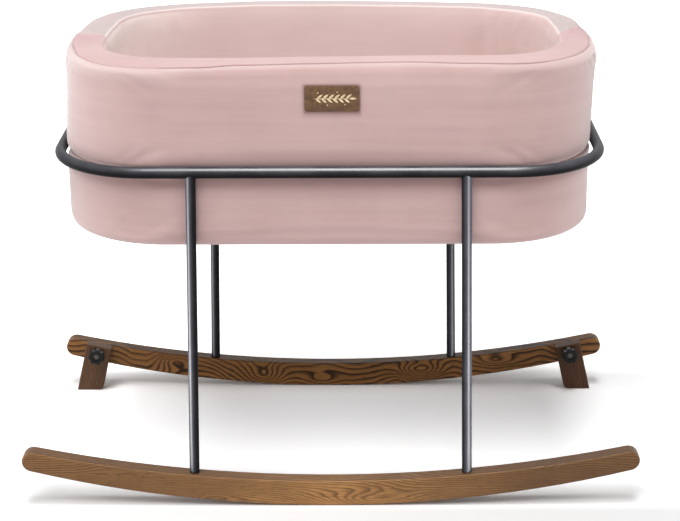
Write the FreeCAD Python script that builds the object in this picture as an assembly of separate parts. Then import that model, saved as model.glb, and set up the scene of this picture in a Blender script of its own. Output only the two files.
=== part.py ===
import FreeCAD, Part
import math
import os

os.makedirs("parts", exist_ok=True)
V = FreeCAD.Vector

# A cradle on two rockers. X runs along the rockers, the front faces -Y and Z is up.
# The origin is on the floor, under the middle. All lengths are in millimetres.

# Driving dimensions
rocker_length = 1000.0
ring_height = 563.0             # floor to the ring's axis
tub_length = 852.0
tub_width = 498.0
tub_corner_radius = 171.0
tub_above_ring = 172.0
tub_below_ring = 125.0
overrun = 5.0                   # how far a cutting tool runs past what it cuts
slip = 0.1                      # room round a piece that is fixed in its hole
pivot_play = 0.05               # room round a shaft that something turns on

# Rockers
rocker_thickness = 28.0
rocker_inset = 4.3              # from the ring's axis in to the rocker's middle plane
rocker_height = 44.0            # at the middle of the length
sole_radius = 1960.0
nose_radius = 17.0
rocker_edge_radius = 3.5

# Legs
leg_radius = 8.0
leg_wall = 1.5
leg_end_distance = 219.0        # from the ring's end to the legs' tops
leg_splay = 9.4                 # each foot is this much further out than its top
socket_depth = 16.0
plug_length = 22.0
bolt_radius = 4.0
bolt_hole_play = 0.5
bolt_head_radius = 7.0
bolt_head_height = 4.4
bolt_socket_radius = 2.9
bolt_socket_depth = 2.6
bolt_end_gap = 3.0              # from the bolt's tip to the plug's top
washer_thickness = 1.6
rocker_washer_radius = 8.5
counterbore_radius = 9.5
counterbore_depth = 10.0        # from the sole up to the washer's seat

# Ring
ring_radius = 9.0
ring_wall = 1.5
ring_corner_radius = 145.0
ring_side_gap = 0.3             # from the tub's lower cover to the ring, front and rear
ring_end_gap = 2.0

# Stop legs
stop_end_distance = 60.0        # from the rocker's end to the pivot
stop_pivot_rise = 22.0          # above the sole, square to it
stop_width = 46.0
stop_thickness = 18.0
stop_top_reach = 15.0
stop_toe_radius = 9.0
stop_edge_radius = 2.0
stop_gap = 0.3
insert_radius = 6.0
insert_length = 16.0
stud_radius = 4.0

# Star knobs
knob_radius = 15.0
knob_lobe_radius = 4.4
knob_valley_radius = 4.6
knob_lobes = 7
knob_hub_radius = 9.0
knob_hub_length = 5.0
knob_head_length = 12.0
knob_edge_radius = 1.5
knob_recess_radius = 6.5
knob_recess_depth = 2.5
knob_insert_radius = 5.5
knob_washer_radius = 12.0
stud_end_gap = 0.5              # from the stud's tip to the recess's floor

# Tub wall, from the outside inwards
cover_thickness = 2.0
outer_foam_thickness = 16.0
hoop_thickness = 8.0
rim_width = 63.0                # whole wall at the rim
lower_inset = 6.0               # the lower cover stands this far inside the upper
lower_edge_radius = 16.0
foam_foot_rise = 6.0            # lower foam's foot above the cover's turned edge
hem_width = 21.0                # lower cover turned in under the hoop
hoop_top_drop = 35.0            # rim's crest down to the hoop's top
hoop_foot_radius = 4.0
base_thickness = 12.0
dust_cover_thickness = 1.5
dust_cover_gap = 0.5

# Upper wall and rim, in section
wall_foot_tuck = 1.5            # wall's foot inside its widest
wall_top_tuck = 0.5
outer_roll_radius = 12.0
seam_inset = 10.0
seam_drop = 9.0                 # rim seam below the crest
inner_roll_radius = 18.0
cross_seam_y = -20.0            # where the two linings meet, at both ends

# Seat rails
rail_end_distance = 25.0        # from where the tub's corner starts to the rail's end
rail_top_rise = 27.0            # rail's top above the ring's axis
rail_screw_share = 0.8          # outer screws, as a share of half the rail

# Screws
base_screw_radius = 2.0
base_screw_length = 32.0
base_screw_shares = (-0.85, -0.45, 0.0, 0.45, 0.85)
rail_screw_radius = 1.75
rail_screw_length = 18.0
screw_head_share = 2.0          # head's radius as a share of the shank's

# Mattress
mattress_gap = 3.0
mattress_thickness = 50.0
mattress_edge_radius = 14.0
mattress_cover_thickness = 1.5

# Leather patch
patch_length = 83.0
patch_height = 40.0
patch_thickness = 1.6
patch_corner_radius = 4.0
patch_x = 6.0
patch_rise = 116.0              # its middle above the ring's axis

# Places that follow from the sizes above
corner_x = tub_length / 2 - tub_corner_radius
corner_y = tub_width / 2 - tub_corner_radius
lower_radius = tub_corner_radius - lower_inset
lining_radius = tub_corner_radius - rim_width
hoop_radius = tub_corner_radius - cover_thickness - outer_foam_thickness
base_radius = hoop_radius - hoop_thickness
ring_half_width = corner_y + lower_radius + ring_side_gap + ring_radius
ring_half_length = corner_x + lower_radius + ring_end_gap + ring_radius
ring_axis_radius = ring_half_width - corner_y
rocker_y = ring_half_width - rocker_inset
leg_top_x = ring_half_length - leg_end_distance
leg_foot_x = leg_top_x + leg_splay
stop_pivot_x = rocker_length / 2 - stop_end_distance
rail_length = 2 * (corner_x - rail_end_distance)
tub_bottom = ring_height - tub_below_ring
tub_floor = tub_bottom + cover_thickness
base_top = tub_floor + base_thickness
crest = ring_height + tub_above_ring
hoop_top = crest - hoop_top_drop
nose_x = rocker_length / 2 - nose_radius
nose_z = sole_radius - math.sqrt((sole_radius - nose_radius) ** 2 - nose_x ** 2)
top_fall = nose_radius + nose_z - rocker_height
top_radius = (nose_x ** 2 + (rocker_height - nose_z) ** 2 - nose_radius ** 2) / (2 * top_fall)


def sole_z(x):
    return sole_radius - math.sqrt(sole_radius ** 2 - x ** 2)


def rocker_top_z(x):
    return rocker_height + top_radius - math.sqrt(top_radius ** 2 - x ** 2)


def save(name, *solids):
    shape = solids[0] if len(solids) == 1 else Part.makeCompound(list(solids))
    shape.exportStep("parts/" + name + ".step")
    print(name, len(shape.Solids), round(shape.Volume), shape.isValid())


# Paths are lists of (start, middle, end), with no middle for a straight line
def backwards(path):
    return [(end, middle, start) for start, middle, end in reversed(path)]


def edge(start, middle, end):
    if middle is None:
        return Part.LineSegment(start, end).toShape()
    return Part.Arc(start, middle, end).toShape()


def closed_wire(path):
    """Joins a path's pieces, with a straight line wherever one ends short of the next."""
    edges = []
    for number, (start, middle, end) in enumerate(path):
        edges.append(edge(start, middle, end))
        following = path[(number + 1) % len(path)][0]
        if end.distanceToPoint(following) > Part.Precision.confusion():
            edges.append(edge(end, None, following))
    return Part.Wire(edges)


def polygon(*points):
    return closed_wire([(point, None, point_after) for point, point_after in
                        zip(points, points[1:] + points[:1])])


def rectangle(low_r, low_z, high_r, high_z):
    corners = (V(low_r, 0, low_z), V(high_r, 0, low_z), V(high_r, 0, high_z), V(low_r, 0, high_z))
    return Part.Face(polygon(*corners))


def on_circle(centre, radius, angle):
    return centre + V(radius * math.cos(angle), 0, radius * math.sin(angle))


def sweep_round(centre, radius, first, last):
    """An arc in the XZ plane, from one angle to another."""
    middle = on_circle(centre, radius, (first + last) / 2)
    return [(on_circle(centre, radius, first), middle, on_circle(centre, radius, last))]


def placed(shape, quarter, x, y):
    copy = shape.copy()
    copy.rotate(V(), V(0, 0, 1), 90 * quarter)
    copy.translate(V(x, y, 0))
    return copy


def round_tub(profile):
    """Carries a face, drawn in the XZ plane with x counted from a corner's centre, round the tub."""
    corners = ((corner_x, corner_y), (-corner_x, corner_y), (-corner_x, -corner_y), (corner_x, -corner_y))
    pieces = []
    for quarter, (x, y) in enumerate(corners):
        following = corners[(quarter + 1) % len(corners)]
        bend = placed(profile, quarter, x, y)
        pieces.append(bend.revolve(V(x, y, 0), V(0, 0, 1), 90))
        side = placed(profile, quarter + 1, x, y)
        pieces.append(side.extrude(V(following[0] - x, following[1] - y, 0)))
    return pieces[0].multiFuse(pieces[1:]).removeSplitter().Solids[0]


def rounded_plate(half_x, half_y, radius, bottom, top):
    """A flat plate with round corners."""
    inner_x = half_x - radius
    inner_y = half_y - radius
    plate = Part.makeBox(2 * half_x, 2 * inner_y, top - bottom, V(-half_x, -inner_y, bottom))
    cross = Part.makeBox(2 * inner_x, 2 * half_y, top - bottom, V(-inner_x, -half_y, bottom))
    rounds = [Part.makeCylinder(radius, top - bottom, V(x, y, bottom))
              for x in (-inner_x, inner_x) for y in (-inner_y, inner_y)]
    return plate.multiFuse([cross] + rounds).removeSplitter().Solids[0]


def tub_plate(radius, bottom, top):
    return rounded_plate(corner_x + radius, corner_y + radius, radius, bottom, top)


# Rockers
def rocker_blank(y):
    """A plank between two arcs, with a round nose at each end."""
    sole_centre = V(0, 0, sole_radius)
    top_centre = V(0, 0, rocker_height + top_radius)
    nose = V(nose_x, 0, nose_z)
    sole_end = sole_centre + (nose - sole_centre).normalize() * sole_radius
    top_end = top_centre + (nose - top_centre).normalize() * top_radius
    nose_tip = nose + V(nose_radius, 0, 0)
    left = [V(-point.x, 0, point.z) for point in (sole_end, nose_tip, top_end)]
    path = [(left[0], V(0, 0, 0), sole_end), (sole_end, nose_tip, top_end),
            (top_end, V(0, 0, rocker_height), left[2]), (left[2], left[1], left[0])]
    plank = Part.Face(closed_wire(path)).extrude(V(0, rocker_thickness, 0))
    plank.translate(V(0, y - rocker_thickness / 2, 0))
    rims = [e for e in plank.Edges if e.BoundBox.YLength < rocker_thickness / 2]
    return plank.makeFillet(rocker_edge_radius, rims)


def leg_placement(side, face):
    """Puts what is drawn along Z on a leg's axis, with the socket's floor at zero."""
    foot = V(side * leg_foot_x, face * rocker_y, rocker_top_z(leg_foot_x))
    head = V(side * leg_top_x, face * ring_half_width, ring_height)
    along = (head - foot).normalize()
    return FreeCAD.Placement(foot - along * socket_depth, FreeCAD.Rotation(V(0, 0, 1), along))


def on_leg(shape, side, face):
    copy = shape.copy()
    copy.Placement = leg_placement(side, face)
    return copy


def tube_on_axis(outer, inner, bottom, top):
    outside = Part.makeCylinder(outer, top - bottom, V(0, 0, bottom))
    return outside.cut(Part.makeCylinder(inner, top - bottom + 2 * overrun, V(0, 0, bottom - overrun)))


socket_floor = leg_placement(1, 1).Base
bolt_seat = -(socket_floor.z - sole_z(leg_foot_x)) + counterbore_depth
washer_bottom = bolt_seat - washer_thickness


def leg_cuts(side, face):
    """Socket, bolt hole and counterbore for one leg."""
    socket = Part.makeCylinder(leg_radius + slip, socket_depth + rocker_height)
    hole = Part.makeCylinder(bolt_radius + bolt_hole_play, rocker_height, V(0, 0, -rocker_height / 2))
    below = Part.makeCylinder(counterbore_radius, rocker_height, V(0, 0, bolt_seat - rocker_height))
    return [on_leg(cut, side, face) for cut in (socket, hole, below)]


def rocker_bolt():
    head_bottom = washer_bottom - bolt_head_height
    length = plug_length - bolt_end_gap - washer_bottom
    shank = Part.makeCylinder(bolt_radius, length, V(0, 0, washer_bottom))
    head = Part.makeCylinder(bolt_head_radius, bolt_head_height, V(0, 0, head_bottom))
    rim = [e for e in head.Edges if e.BoundBox.ZMax < washer_bottom - bolt_head_height / 2 and e.Closed]
    head = head.makeFillet(bolt_head_height / 2, rim)
    drive = Part.makeCylinder(bolt_socket_radius, bolt_socket_depth, V(0, 0, head_bottom))
    return shank.fuse(head).cut(drive).removeSplitter().Solids[0]


# Ring
def ring_path():
    """The ring's axis, a rectangle with round corners."""
    inner_x = ring_half_length - ring_corner_radius
    inner_y = ring_half_width - ring_corner_radius
    edges = []
    for quarter, (sx, sy) in enumerate(((1, 1), (-1, 1), (-1, -1), (1, -1))):
        centre = V(sx * inner_x, sy * inner_y, ring_height)
        points = [centre + V(math.cos(a) * ring_corner_radius, math.sin(a) * ring_corner_radius, 0)
                  for a in (math.pi / 2 * (quarter + share) for share in (0, 0.5, 1))]
        edges.append(Part.Arc(*points).toShape())
    ends = [(e.valueAt(e.LastParameter), f.valueAt(f.FirstParameter))
            for e, f in zip(edges, edges[1:] + edges[:1])]
    joined = [piece for pair in zip(edges, (edge(a, None, b) for a, b in ends)) for piece in pair]
    return Part.Wire(joined)


def ring_solid(radius):
    """A tube bent along the ring's axis, as straight runs and quarter bends."""
    pieces = []
    for run in ring_path().Edges:
        start = run.valueAt(run.FirstParameter)
        section = Part.Face(Part.Wire(Part.makeCircle(radius, start, run.tangentAt(run.FirstParameter))))
        if run.Curve.TypeId == "Part::GeomLine":
            pieces.append(section.extrude(run.valueAt(run.LastParameter) - start))
        else:
            pieces.append(section.revolve(run.Curve.Center, V(0, 0, 1), 90))
    return pieces[0].multiFuse(pieces[1:]).removeSplitter().Solids[0]


def ring_tube():
    return ring_solid(ring_radius).cut(ring_solid(ring_radius - ring_wall)).Solids[0]


# Stop legs, drawn for the right end and mirrored for the left
rocker_inner_y = rocker_y - rocker_thickness / 2
stop_back_y = rocker_inner_y - stop_gap
stop_front_y = stop_back_y - stop_thickness
knob_back_y = stop_front_y - washer_thickness
knob_face_y = knob_back_y - knob_hub_length - knob_head_length
stop_pivot_reach = sole_radius - stop_pivot_rise
stop_tilt = math.asin(stop_pivot_x / stop_pivot_reach)
stop_pivot = V(stop_pivot_x, 0, sole_radius - stop_pivot_reach * math.cos(stop_tilt))


def mirrored(shape, side):
    return shape if side > 0 else shape.mirror(V(), V(1, 0, 0))


def disc_at_pivot(radius, back, front):
    """A cylinder on the stop leg's pivot, between two depths."""
    return Part.makeCylinder(radius, back - front, stop_pivot + V(0, back, 0), V(0, -1, 0))


def stop_leg():
    down = V(math.sin(stop_tilt), 0, -math.cos(stop_tilt))
    across = V(math.cos(stop_tilt), 0, math.sin(stop_tilt)) * (stop_width / 2)
    inner_top = stop_pivot - across - down * stop_top_reach
    outer_top = stop_pivot + across - down * stop_top_reach
    inner_foot = inner_top - down * (inner_top.z / down.z)
    outer_foot = outer_top - down * (outer_top.z / down.z)
    blank = Part.Face(polygon(inner_top, outer_top, outer_foot, inner_foot))
    leg = blank.extrude(V(0, stop_thickness, 0))
    leg.translate(V(0, stop_front_y, 0))
    toe_middle = inner_foot + V(0, stop_front_y + stop_thickness / 2, 0)
    toe = [e for e in leg.Edges if e.BoundBox.YLength > stop_thickness / 2
           and e.CenterOfMass.distanceToPoint(toe_middle) < overrun]
    leg = leg.makeFillet(stop_toe_radius, toe)
    front = [e for e in leg.Edges if e.BoundBox.YMax < stop_front_y + stop_thickness / 2
             and e.BoundBox.ZMax > stop_edge_radius]
    leg = leg.makeFillet(stop_edge_radius, front)
    return leg.cut(disc_at_pivot(stud_radius + pivot_play, stop_back_y + overrun, stop_front_y - overrun))


def star_outline():
    """Round lobes and round valleys, each running smoothly into the next."""
    step = math.pi / knob_lobes
    lobe_ring = knob_radius - knob_lobe_radius
    reach = knob_lobe_radius + knob_valley_radius
    valley_ring = lobe_ring * math.cos(step) + math.sqrt(reach ** 2 - (lobe_ring * math.sin(step)) ** 2)
    share = knob_lobe_radius / reach
    arcs = []
    for lobe in range(knob_lobes):
        at = 2 * step * lobe
        lobe_centre = on_circle(stop_pivot, lobe_ring, at)
        before = on_circle(stop_pivot, valley_ring, at - step)
        after = on_circle(stop_pivot, valley_ring, at + step)
        following = on_circle(stop_pivot, lobe_ring, at + 2 * step)
        start = lobe_centre + (before - lobe_centre) * share
        end = lobe_centre + (after - lobe_centre) * share
        arcs.append((start, on_circle(stop_pivot, knob_radius, at), end))
        middle = on_circle(stop_pivot, valley_ring - knob_valley_radius, at + step)
        arcs.append((end, middle, following + (after - following) * share))
    return Part.Face(closed_wire(arcs))


def star_knob():
    head = star_outline().extrude(V(0, knob_head_length, 0))
    head.translate(V(0, knob_face_y, 0))
    rims = [e for e in head.Edges if e.BoundBox.YLength < knob_edge_radius]
    head = head.makeFillet(knob_edge_radius, rims)
    hub = disc_at_pivot(knob_hub_radius, knob_back_y, knob_face_y + knob_head_length / 2)
    knob = head.fuse(hub)
    recess = disc_at_pivot(knob_recess_radius, knob_face_y + knob_recess_depth, knob_face_y - overrun)
    insert_hole = disc_at_pivot(knob_insert_radius, knob_back_y + overrun, knob_face_y)
    return knob.cut(recess).cut(insert_hole).Solids[0]


def pivot_bush(outer, inner, back, front):
    """A short tube on the stop leg's pivot."""
    return disc_at_pivot(outer, back, front).cut(disc_at_pivot(inner, back + overrun, front - overrun))


# Tub covers and foam, in section. A path's inset counts inwards from the outer cloth.
cove_centre = V(ring_axis_radius, 0, ring_height)
roll_x = tub_corner_radius - wall_top_tuck - outer_roll_radius
seam_x = tub_corner_radius - seam_inset
seam_z = crest - seam_drop
roll_z = seam_z - math.sqrt(outer_roll_radius ** 2 - (seam_x - roll_x) ** 2)
crest_x = lining_radius + inner_roll_radius
top_band_radius = ((seam_x - crest_x) ** 2 + seam_drop ** 2) / (2 * seam_drop)


def wall_foot(inset):
    """Where the cove over the ring meets the upper wall."""
    x = tub_corner_radius - wall_foot_tuck - inset
    radius = ring_radius + ring_side_gap + inset
    return V(x, 0, ring_height + math.sqrt(radius ** 2 - (ring_axis_radius - x) ** 2))


def wall_path(inset):
    """The upper wall alone, slightly crowned."""
    foot = wall_foot(inset)
    top = V(tub_corner_radius - wall_top_tuck - inset, 0, roll_z)
    return [(foot, V(tub_corner_radius - inset, 0, (ring_height + roll_z) / 2), top)]


def outer_path(inset):
    """From behind the ring up over the outer roll to the rim seam."""
    radius = ring_radius + ring_side_gap + inset
    foot = wall_foot(inset)
    foot_angle = math.atan2(foot.z - ring_height, foot.x - ring_axis_radius)
    roll_reach = outer_roll_radius - inset
    seam_angle = math.acos((seam_x - roll_x) / roll_reach)
    cove = sweep_round(cove_centre, radius, math.pi, foot_angle)
    return cove + wall_path(inset) + sweep_round(V(roll_x, 0, roll_z), roll_reach, 0, seam_angle)


def rim_path(inset):
    """From the rim seam over the crest and down the inner wall to the base board."""
    radius = top_band_radius - inset
    centre = V(crest_x, 0, crest - top_band_radius)
    band = sweep_round(centre, radius, math.acos((seam_x - crest_x) / radius), math.pi / 2)
    roll_centre = V(crest_x, 0, crest - inner_roll_radius)
    roll = sweep_round(roll_centre, inner_roll_radius - inset, math.pi / 2, math.pi)
    wall_top = roll[0][2]
    return band + roll + [(wall_top, None, V(wall_top.x, 0, base_top))]


def upper_cover_profile():
    return Part.Face(closed_wire(outer_path(0) + backwards(outer_path(cover_thickness))))


def lining_profile():
    return Part.Face(closed_wire(rim_path(0) + backwards(rim_path(cover_thickness))))


def foam_region():
    """All that the cloth encloses above the ring's axis and down to the base board inside."""
    return Part.Face(closed_wire(outer_path(cover_thickness) + rim_path(cover_thickness)))


def lower_cover_profile():
    centre = V(lower_radius - lower_edge_radius, 0, tub_bottom + lower_edge_radius)
    hem = centre.x - hem_width
    outside = [(V(hem, 0, tub_bottom), None, V(centre.x, 0, tub_bottom))]
    outside += sweep_round(centre, lower_edge_radius, -math.pi / 2, 0)
    outside += [(V(lower_radius, 0, centre.z), None, V(lower_radius, 0, ring_height))]
    inner_radius = lower_edge_radius - cover_thickness
    inside = [(V(hem, 0, tub_floor), None, V(centre.x, 0, tub_floor))]
    inside += sweep_round(centre, inner_radius, -math.pi / 2, 0)
    inside += [(V(centre.x + inner_radius, 0, centre.z), None, V(centre.x + inner_radius, 0, ring_height))]
    return Part.Face(closed_wire(outside + backwards(inside)))


def lower_foam_profile():
    centre = V(lower_radius - lower_edge_radius, 0, tub_bottom + lower_edge_radius)
    radius = lower_edge_radius - cover_thickness
    foot_z = tub_floor + foam_foot_rise
    first = math.asin((foot_z - centre.z) / radius)
    face = sweep_round(centre, radius, first, 0)
    face += [(V(centre.x + radius, 0, centre.z), None, V(centre.x + radius, 0, ring_height))]
    return Part.Face(closed_wire(face + [(V(hoop_radius, 0, ring_height), None, V(hoop_radius, 0, foot_z))]))


def hoop_profile():
    centre = V(hoop_radius - hoop_foot_radius, 0, tub_floor + hoop_foot_radius)
    path = sweep_round(centre, hoop_foot_radius, -math.pi / 2, 0)
    path += [(V(hoop_radius, 0, centre.z), None, V(hoop_radius, 0, hoop_top)),
             (V(hoop_radius, 0, hoop_top), None, V(base_radius, 0, hoop_top)),
             (V(base_radius, 0, hoop_top), None, V(base_radius, 0, tub_floor))]
    return Part.Face(closed_wire(path))


def foam_between(low_r, low_z, high_r, high_z):
    return foam_region().common(rectangle(low_r, low_z, high_r, high_z)).Faces[0]


def seat_rail(face):
    """A wooden batten on the hoop, coved underneath to sit over the ring and its cloth."""
    high = V(hoop_radius, 0, ring_height + rail_top_rise)
    outer_x = wall_foot(cover_thickness).x - slip
    radius = ring_radius + ring_side_gap + cover_thickness + slip
    last = math.acos((outer_x - ring_axis_radius) / radius)
    path = [(high, None, V(hoop_radius, 0, ring_height))]
    path += sweep_round(cove_centre, radius, math.pi, last)
    path += [(on_circle(cove_centre, radius, last), None, V(outer_x, 0, high.z))]
    quarter = 1 if face > 0 else 3
    rail = placed(Part.Face(closed_wire(path)), quarter, -rail_length / 2, face * corner_y)
    return rail.extrude(V(rail_length, 0, 0))


def rail_pocket(face):
    """The room that a seat rail takes out of the foam, right out to the cloth."""
    near_y = corner_y + hoop_radius
    far_y = tub_width / 2 + overrun
    low_y = near_y if face > 0 else -far_y
    return Part.makeBox(rail_length, far_y - near_y, rail_top_rise + overrun,
                        V(-rail_length / 2, low_y, ring_height - overrun))


def screw(radius, length):
    """A countersunk wood screw along Z, its head's face at zero."""
    head = radius * screw_head_share
    outline = (V(0, 0, 0), V(head, 0, 0), V(radius, 0, radius - head), V(radius, 0, radius - length),
               V(0, 0, -length))
    return Part.Face(polygon(*outline)).revolve(V(), V(0, 0, 1), 360)


def driven(shape, place, outward):
    copy = shape.copy()
    copy.Placement = FreeCAD.Placement(place, FreeCAD.Rotation(V(0, 0, 1), outward))
    return copy


def base_screws():
    """Through the hoop into the base board's edge."""
    height = tub_floor + base_thickness / 2
    blank = screw(base_screw_radius, base_screw_length)
    half_width = corner_y + hoop_radius
    half_length = corner_x + hoop_radius
    made = [driven(blank, V(share * corner_x, face * half_width, height), V(0, face, 0))
            for face in (-1, 1) for share in base_screw_shares]
    return made + [driven(blank, V(side * half_length, 0, height), V(side, 0, 0)) for side in (-1, 1)]


def rail_screws():
    """From inside the hoop out into the seat rails."""
    height = ring_height + rail_top_rise / 2
    blank = screw(rail_screw_radius, rail_screw_length)
    inside = corner_y + base_radius
    return [driven(blank, V(share * rail_length / 2, face * inside, height), V(0, -face, 0))
            for face in (-1, 1) for share in (-rail_screw_share, 0, rail_screw_share)]


def lining_half(face):
    """The rim band and inner lining, in front of or behind the cross seams."""
    whole = round_tub(lining_profile())
    reach = tub_length + overrun
    low_y = cross_seam_y if face > 0 else -reach
    keep = Part.makeBox(2 * reach, reach + cross_seam_y if face < 0 else reach, crest + overrun,
                        V(-reach, low_y, 0))
    return whole.common(keep).Solids[0]


def leather_patch():
    """Lies on the crowned front wall, with round corners."""
    strip = Part.Face(closed_wire(wall_path(0) + backwards(wall_path(-patch_thickness))))
    middle_z = ring_height + patch_rise
    half = patch_height / 2
    strip = strip.common(rectangle(0, middle_z - half, tub_length, middle_z + half)).Faces[0]
    sheet = placed(strip, 3, patch_x - patch_length / 2, -corner_y).extrude(V(patch_length, 0, 0))
    corners = [e for e in sheet.Edges if e.Length < patch_thickness * 2]
    return sheet.makeFillet(patch_corner_radius, corners)


def mattress(inset):
    """A block with round corners and rolled edges."""
    radius = lining_radius - mattress_gap - inset
    block = tub_plate(radius, base_top + inset, base_top + mattress_thickness - inset)
    levels = [e for e in block.Edges if e.BoundBox.ZLength < mattress_thickness / 2]
    return block.makeFillet(mattress_edge_radius - inset, levels)


# Rockers, legs and what joins them
stop_insert_hole = disc_at_pivot(insert_radius, rocker_inner_y + insert_length, rocker_inner_y - overrun)
for face, name in ((-1, "front"), (1, "rear")):
    rocker = rocker_blank(face * rocker_y)
    cuts = leg_cuts(-1, face) + leg_cuts(1, face)
    if face > 0:
        cuts += [mirrored(stop_insert_hole, side) for side in (-1, 1)]
    save("rocker_" + name, rocker.cut(Part.makeCompound(cuts)).Solids[0])

ring_core = ring_solid(ring_radius)
leg_blank = tube_on_axis(leg_radius, leg_radius - leg_wall, 0, ring_height)
plug_blank = tube_on_axis(leg_radius - leg_wall - pivot_play, bolt_radius + pivot_play, 0, plug_length)
washer_blank = tube_on_axis(rocker_washer_radius, bolt_radius + slip, washer_bottom, bolt_seat)
plugs, bolts, washers = [], [], []
for face, face_name in ((-1, "front"), (1, "rear")):
    for side, side_name in ((-1, "left"), (1, "right")):
        leg = on_leg(leg_blank, side, face).cut(ring_core)
        leg = min(leg.Solids, key=lambda piece: piece.CenterOfMass.z)
        save(face_name + "_" + side_name + "_leg", leg)
        plugs.append(on_leg(plug_blank, side, face))
        bolts.append(on_leg(rocker_bolt(), side, face))
        washers.append(on_leg(washer_blank, side, face))
save("leg_thread_plugs", *plugs)
save("rocker_bolts", *bolts)
save("rocker_bolt_washers", *washers)
save("ring_tube", ring_tube())

# Stop legs, studs and knobs
stud_end_y = knob_face_y + knob_recess_depth + stud_end_gap
stud = disc_at_pivot(stud_radius, rocker_inner_y + insert_length, stud_end_y)
insert = pivot_bush(insert_radius, stud_radius, rocker_inner_y + insert_length, rocker_inner_y)
knob_washer = pivot_bush(knob_washer_radius, stud_radius + pivot_play, stop_front_y, knob_back_y)
recess_floor_y = knob_face_y + knob_recess_depth
knob_insert = pivot_bush(knob_insert_radius, stud_radius + pivot_play, knob_back_y, recess_floor_y)
save("stop_inserts", *[mirrored(insert, side) for side in (-1, 1)])
save("stop_studs", *[mirrored(stud, side) for side in (-1, 1)])
for side, side_name in ((-1, "left"), (1, "right")):
    save("stop_leg_" + side_name, mirrored(stop_leg(), side))
    save("stop_washer_" + side_name, mirrored(knob_washer, side))
    save("stop_knob_" + side_name, mirrored(star_knob(), side))
    save("stop_knob_insert_" + side_name, mirrored(knob_insert, side))

# Tub
into_base = Part.makeCompound(base_screws())
into_rails = Part.makeCompound(rail_screws())
rails = {face: seat_rail(face) for face in (-1, 1)}
hoop = round_tub(hoop_profile())
save("tub_hoop", hoop.cut(into_base).cut(into_rails).Solids[0])
save("base_board", tub_plate(base_radius, tub_floor, base_top).cut(into_base).Solids[0])
save("base_screws", *base_screws())
save("front_seat_rail", rails[-1].cut(into_rails).Solids[0])
save("rear_seat_rail", rails[1].cut(into_rails).Solids[0])
save("rail_screws", *rail_screws())

far_x = tub_corner_radius + overrun
upper_foam = round_tub(foam_between(hoop_radius, ring_height, far_x, hoop_top))
pockets = Part.makeCompound([rail_pocket(face) for face in (-1, 1)])
save("upper_outer_foam", upper_foam.cut(pockets).Solids[0])
save("lower_outer_foam", round_tub(lower_foam_profile()))
save("rim_foam", round_tub(foam_between(0, hoop_top, far_x, crest)))
inner_face = lining_radius + cover_thickness
save("inner_side_foam", round_tub(rectangle(inner_face, base_top, base_radius, hoop_top)))
save("upper_outer_cover", round_tub(upper_cover_profile()))
save("lower_outer_cover", round_tub(lower_cover_profile()))
save("front_lining", lining_half(-1))
save("rear_lining", lining_half(1))
dust_radius = lower_radius - lower_edge_radius - hem_width - dust_cover_gap
save("dust_cover", tub_plate(dust_radius, tub_floor - dust_cover_thickness, tub_floor))
save("leather_patch", leather_patch())

# Mattress
core = mattress(mattress_cover_thickness)
save("mattress_core", core)
save("mattress_cover", mattress(0).cut(core).Solids[0])
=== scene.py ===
import bmesh
import bpy
import math
from mathutils import Matrix, Vector, noise
from mathutils.bvhtree import BVHTree
from mathutils.kdtree import KDTree


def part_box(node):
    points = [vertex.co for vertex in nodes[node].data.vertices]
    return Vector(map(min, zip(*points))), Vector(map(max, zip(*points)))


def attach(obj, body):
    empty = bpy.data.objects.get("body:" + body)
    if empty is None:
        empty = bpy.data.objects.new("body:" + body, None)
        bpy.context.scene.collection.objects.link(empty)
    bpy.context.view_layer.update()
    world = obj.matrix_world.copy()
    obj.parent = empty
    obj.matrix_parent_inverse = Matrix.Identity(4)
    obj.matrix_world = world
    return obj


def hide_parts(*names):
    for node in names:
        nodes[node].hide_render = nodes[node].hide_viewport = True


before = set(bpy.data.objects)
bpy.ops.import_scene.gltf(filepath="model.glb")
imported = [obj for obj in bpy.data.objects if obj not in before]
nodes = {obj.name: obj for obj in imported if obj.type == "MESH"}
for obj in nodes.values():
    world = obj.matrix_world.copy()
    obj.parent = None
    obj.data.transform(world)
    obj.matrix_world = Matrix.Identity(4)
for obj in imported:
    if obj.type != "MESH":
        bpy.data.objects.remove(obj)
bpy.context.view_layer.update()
scene = bpy.context.scene
mm = 0.001

# camera

photo = {"place": (0.0354, -2.9283, 1.3561), "pitch": 0.3366, "yaw": -0.0069, "roll": -0.0052, "lens": 96.31}


def makeCamera():
    lens = bpy.data.cameras.new("photoCamera")
    lens.sensor_width = 36
    lens.lens = photo["lens"]
    lens.clip_end = 60
    camera = bpy.data.objects.new("photoCamera", lens)
    scene.collection.objects.link(camera)
    yaw, pitch, roll = photo["yaw"], photo["pitch"], photo["roll"]
    ahead = Vector((math.sin(yaw) * math.cos(pitch), math.cos(yaw) * math.cos(pitch), -math.sin(pitch)))
    right = Vector((math.cos(yaw), -math.sin(yaw), 0))
    up = right.cross(ahead)
    tiltedRight = math.cos(roll) * right + math.sin(roll) * up
    tiltedUp = math.cos(roll) * up - math.sin(roll) * right
    turn = Matrix((tiltedRight, tiltedUp, -ahead)).transposed().to_4x4()
    camera.matrix_world = Matrix.Translation(photo["place"]) @ turn
    scene.camera = camera


makeCamera()
scene.view_settings.view_transform = "Standard"
print("camera is in place")

# small helpers for node trees


def put(tree, kind, sockets=None, **settings):
    node = tree.nodes.new(kind)
    for name, value in settings.items():
        setattr(node, name, value)
    for name, value in (sockets or {}).items():
        if isinstance(value, bpy.types.NodeSocket):
            tree.links.new(value, node.inputs[name])
        else:
            node.inputs[name].default_value = value
    return node


def calc(tree, operation, first, second=0.5):
    return put(tree, "ShaderNodeMath", {0: first, 1: second}, operation=operation).outputs[0]


def weighted(tree, *shares):
    total = None
    for value, share in shares:
        part = calc(tree, "MULTIPLY", value, share)
        total = part if total is None else calc(tree, "ADD", total, part)
    return total


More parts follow.
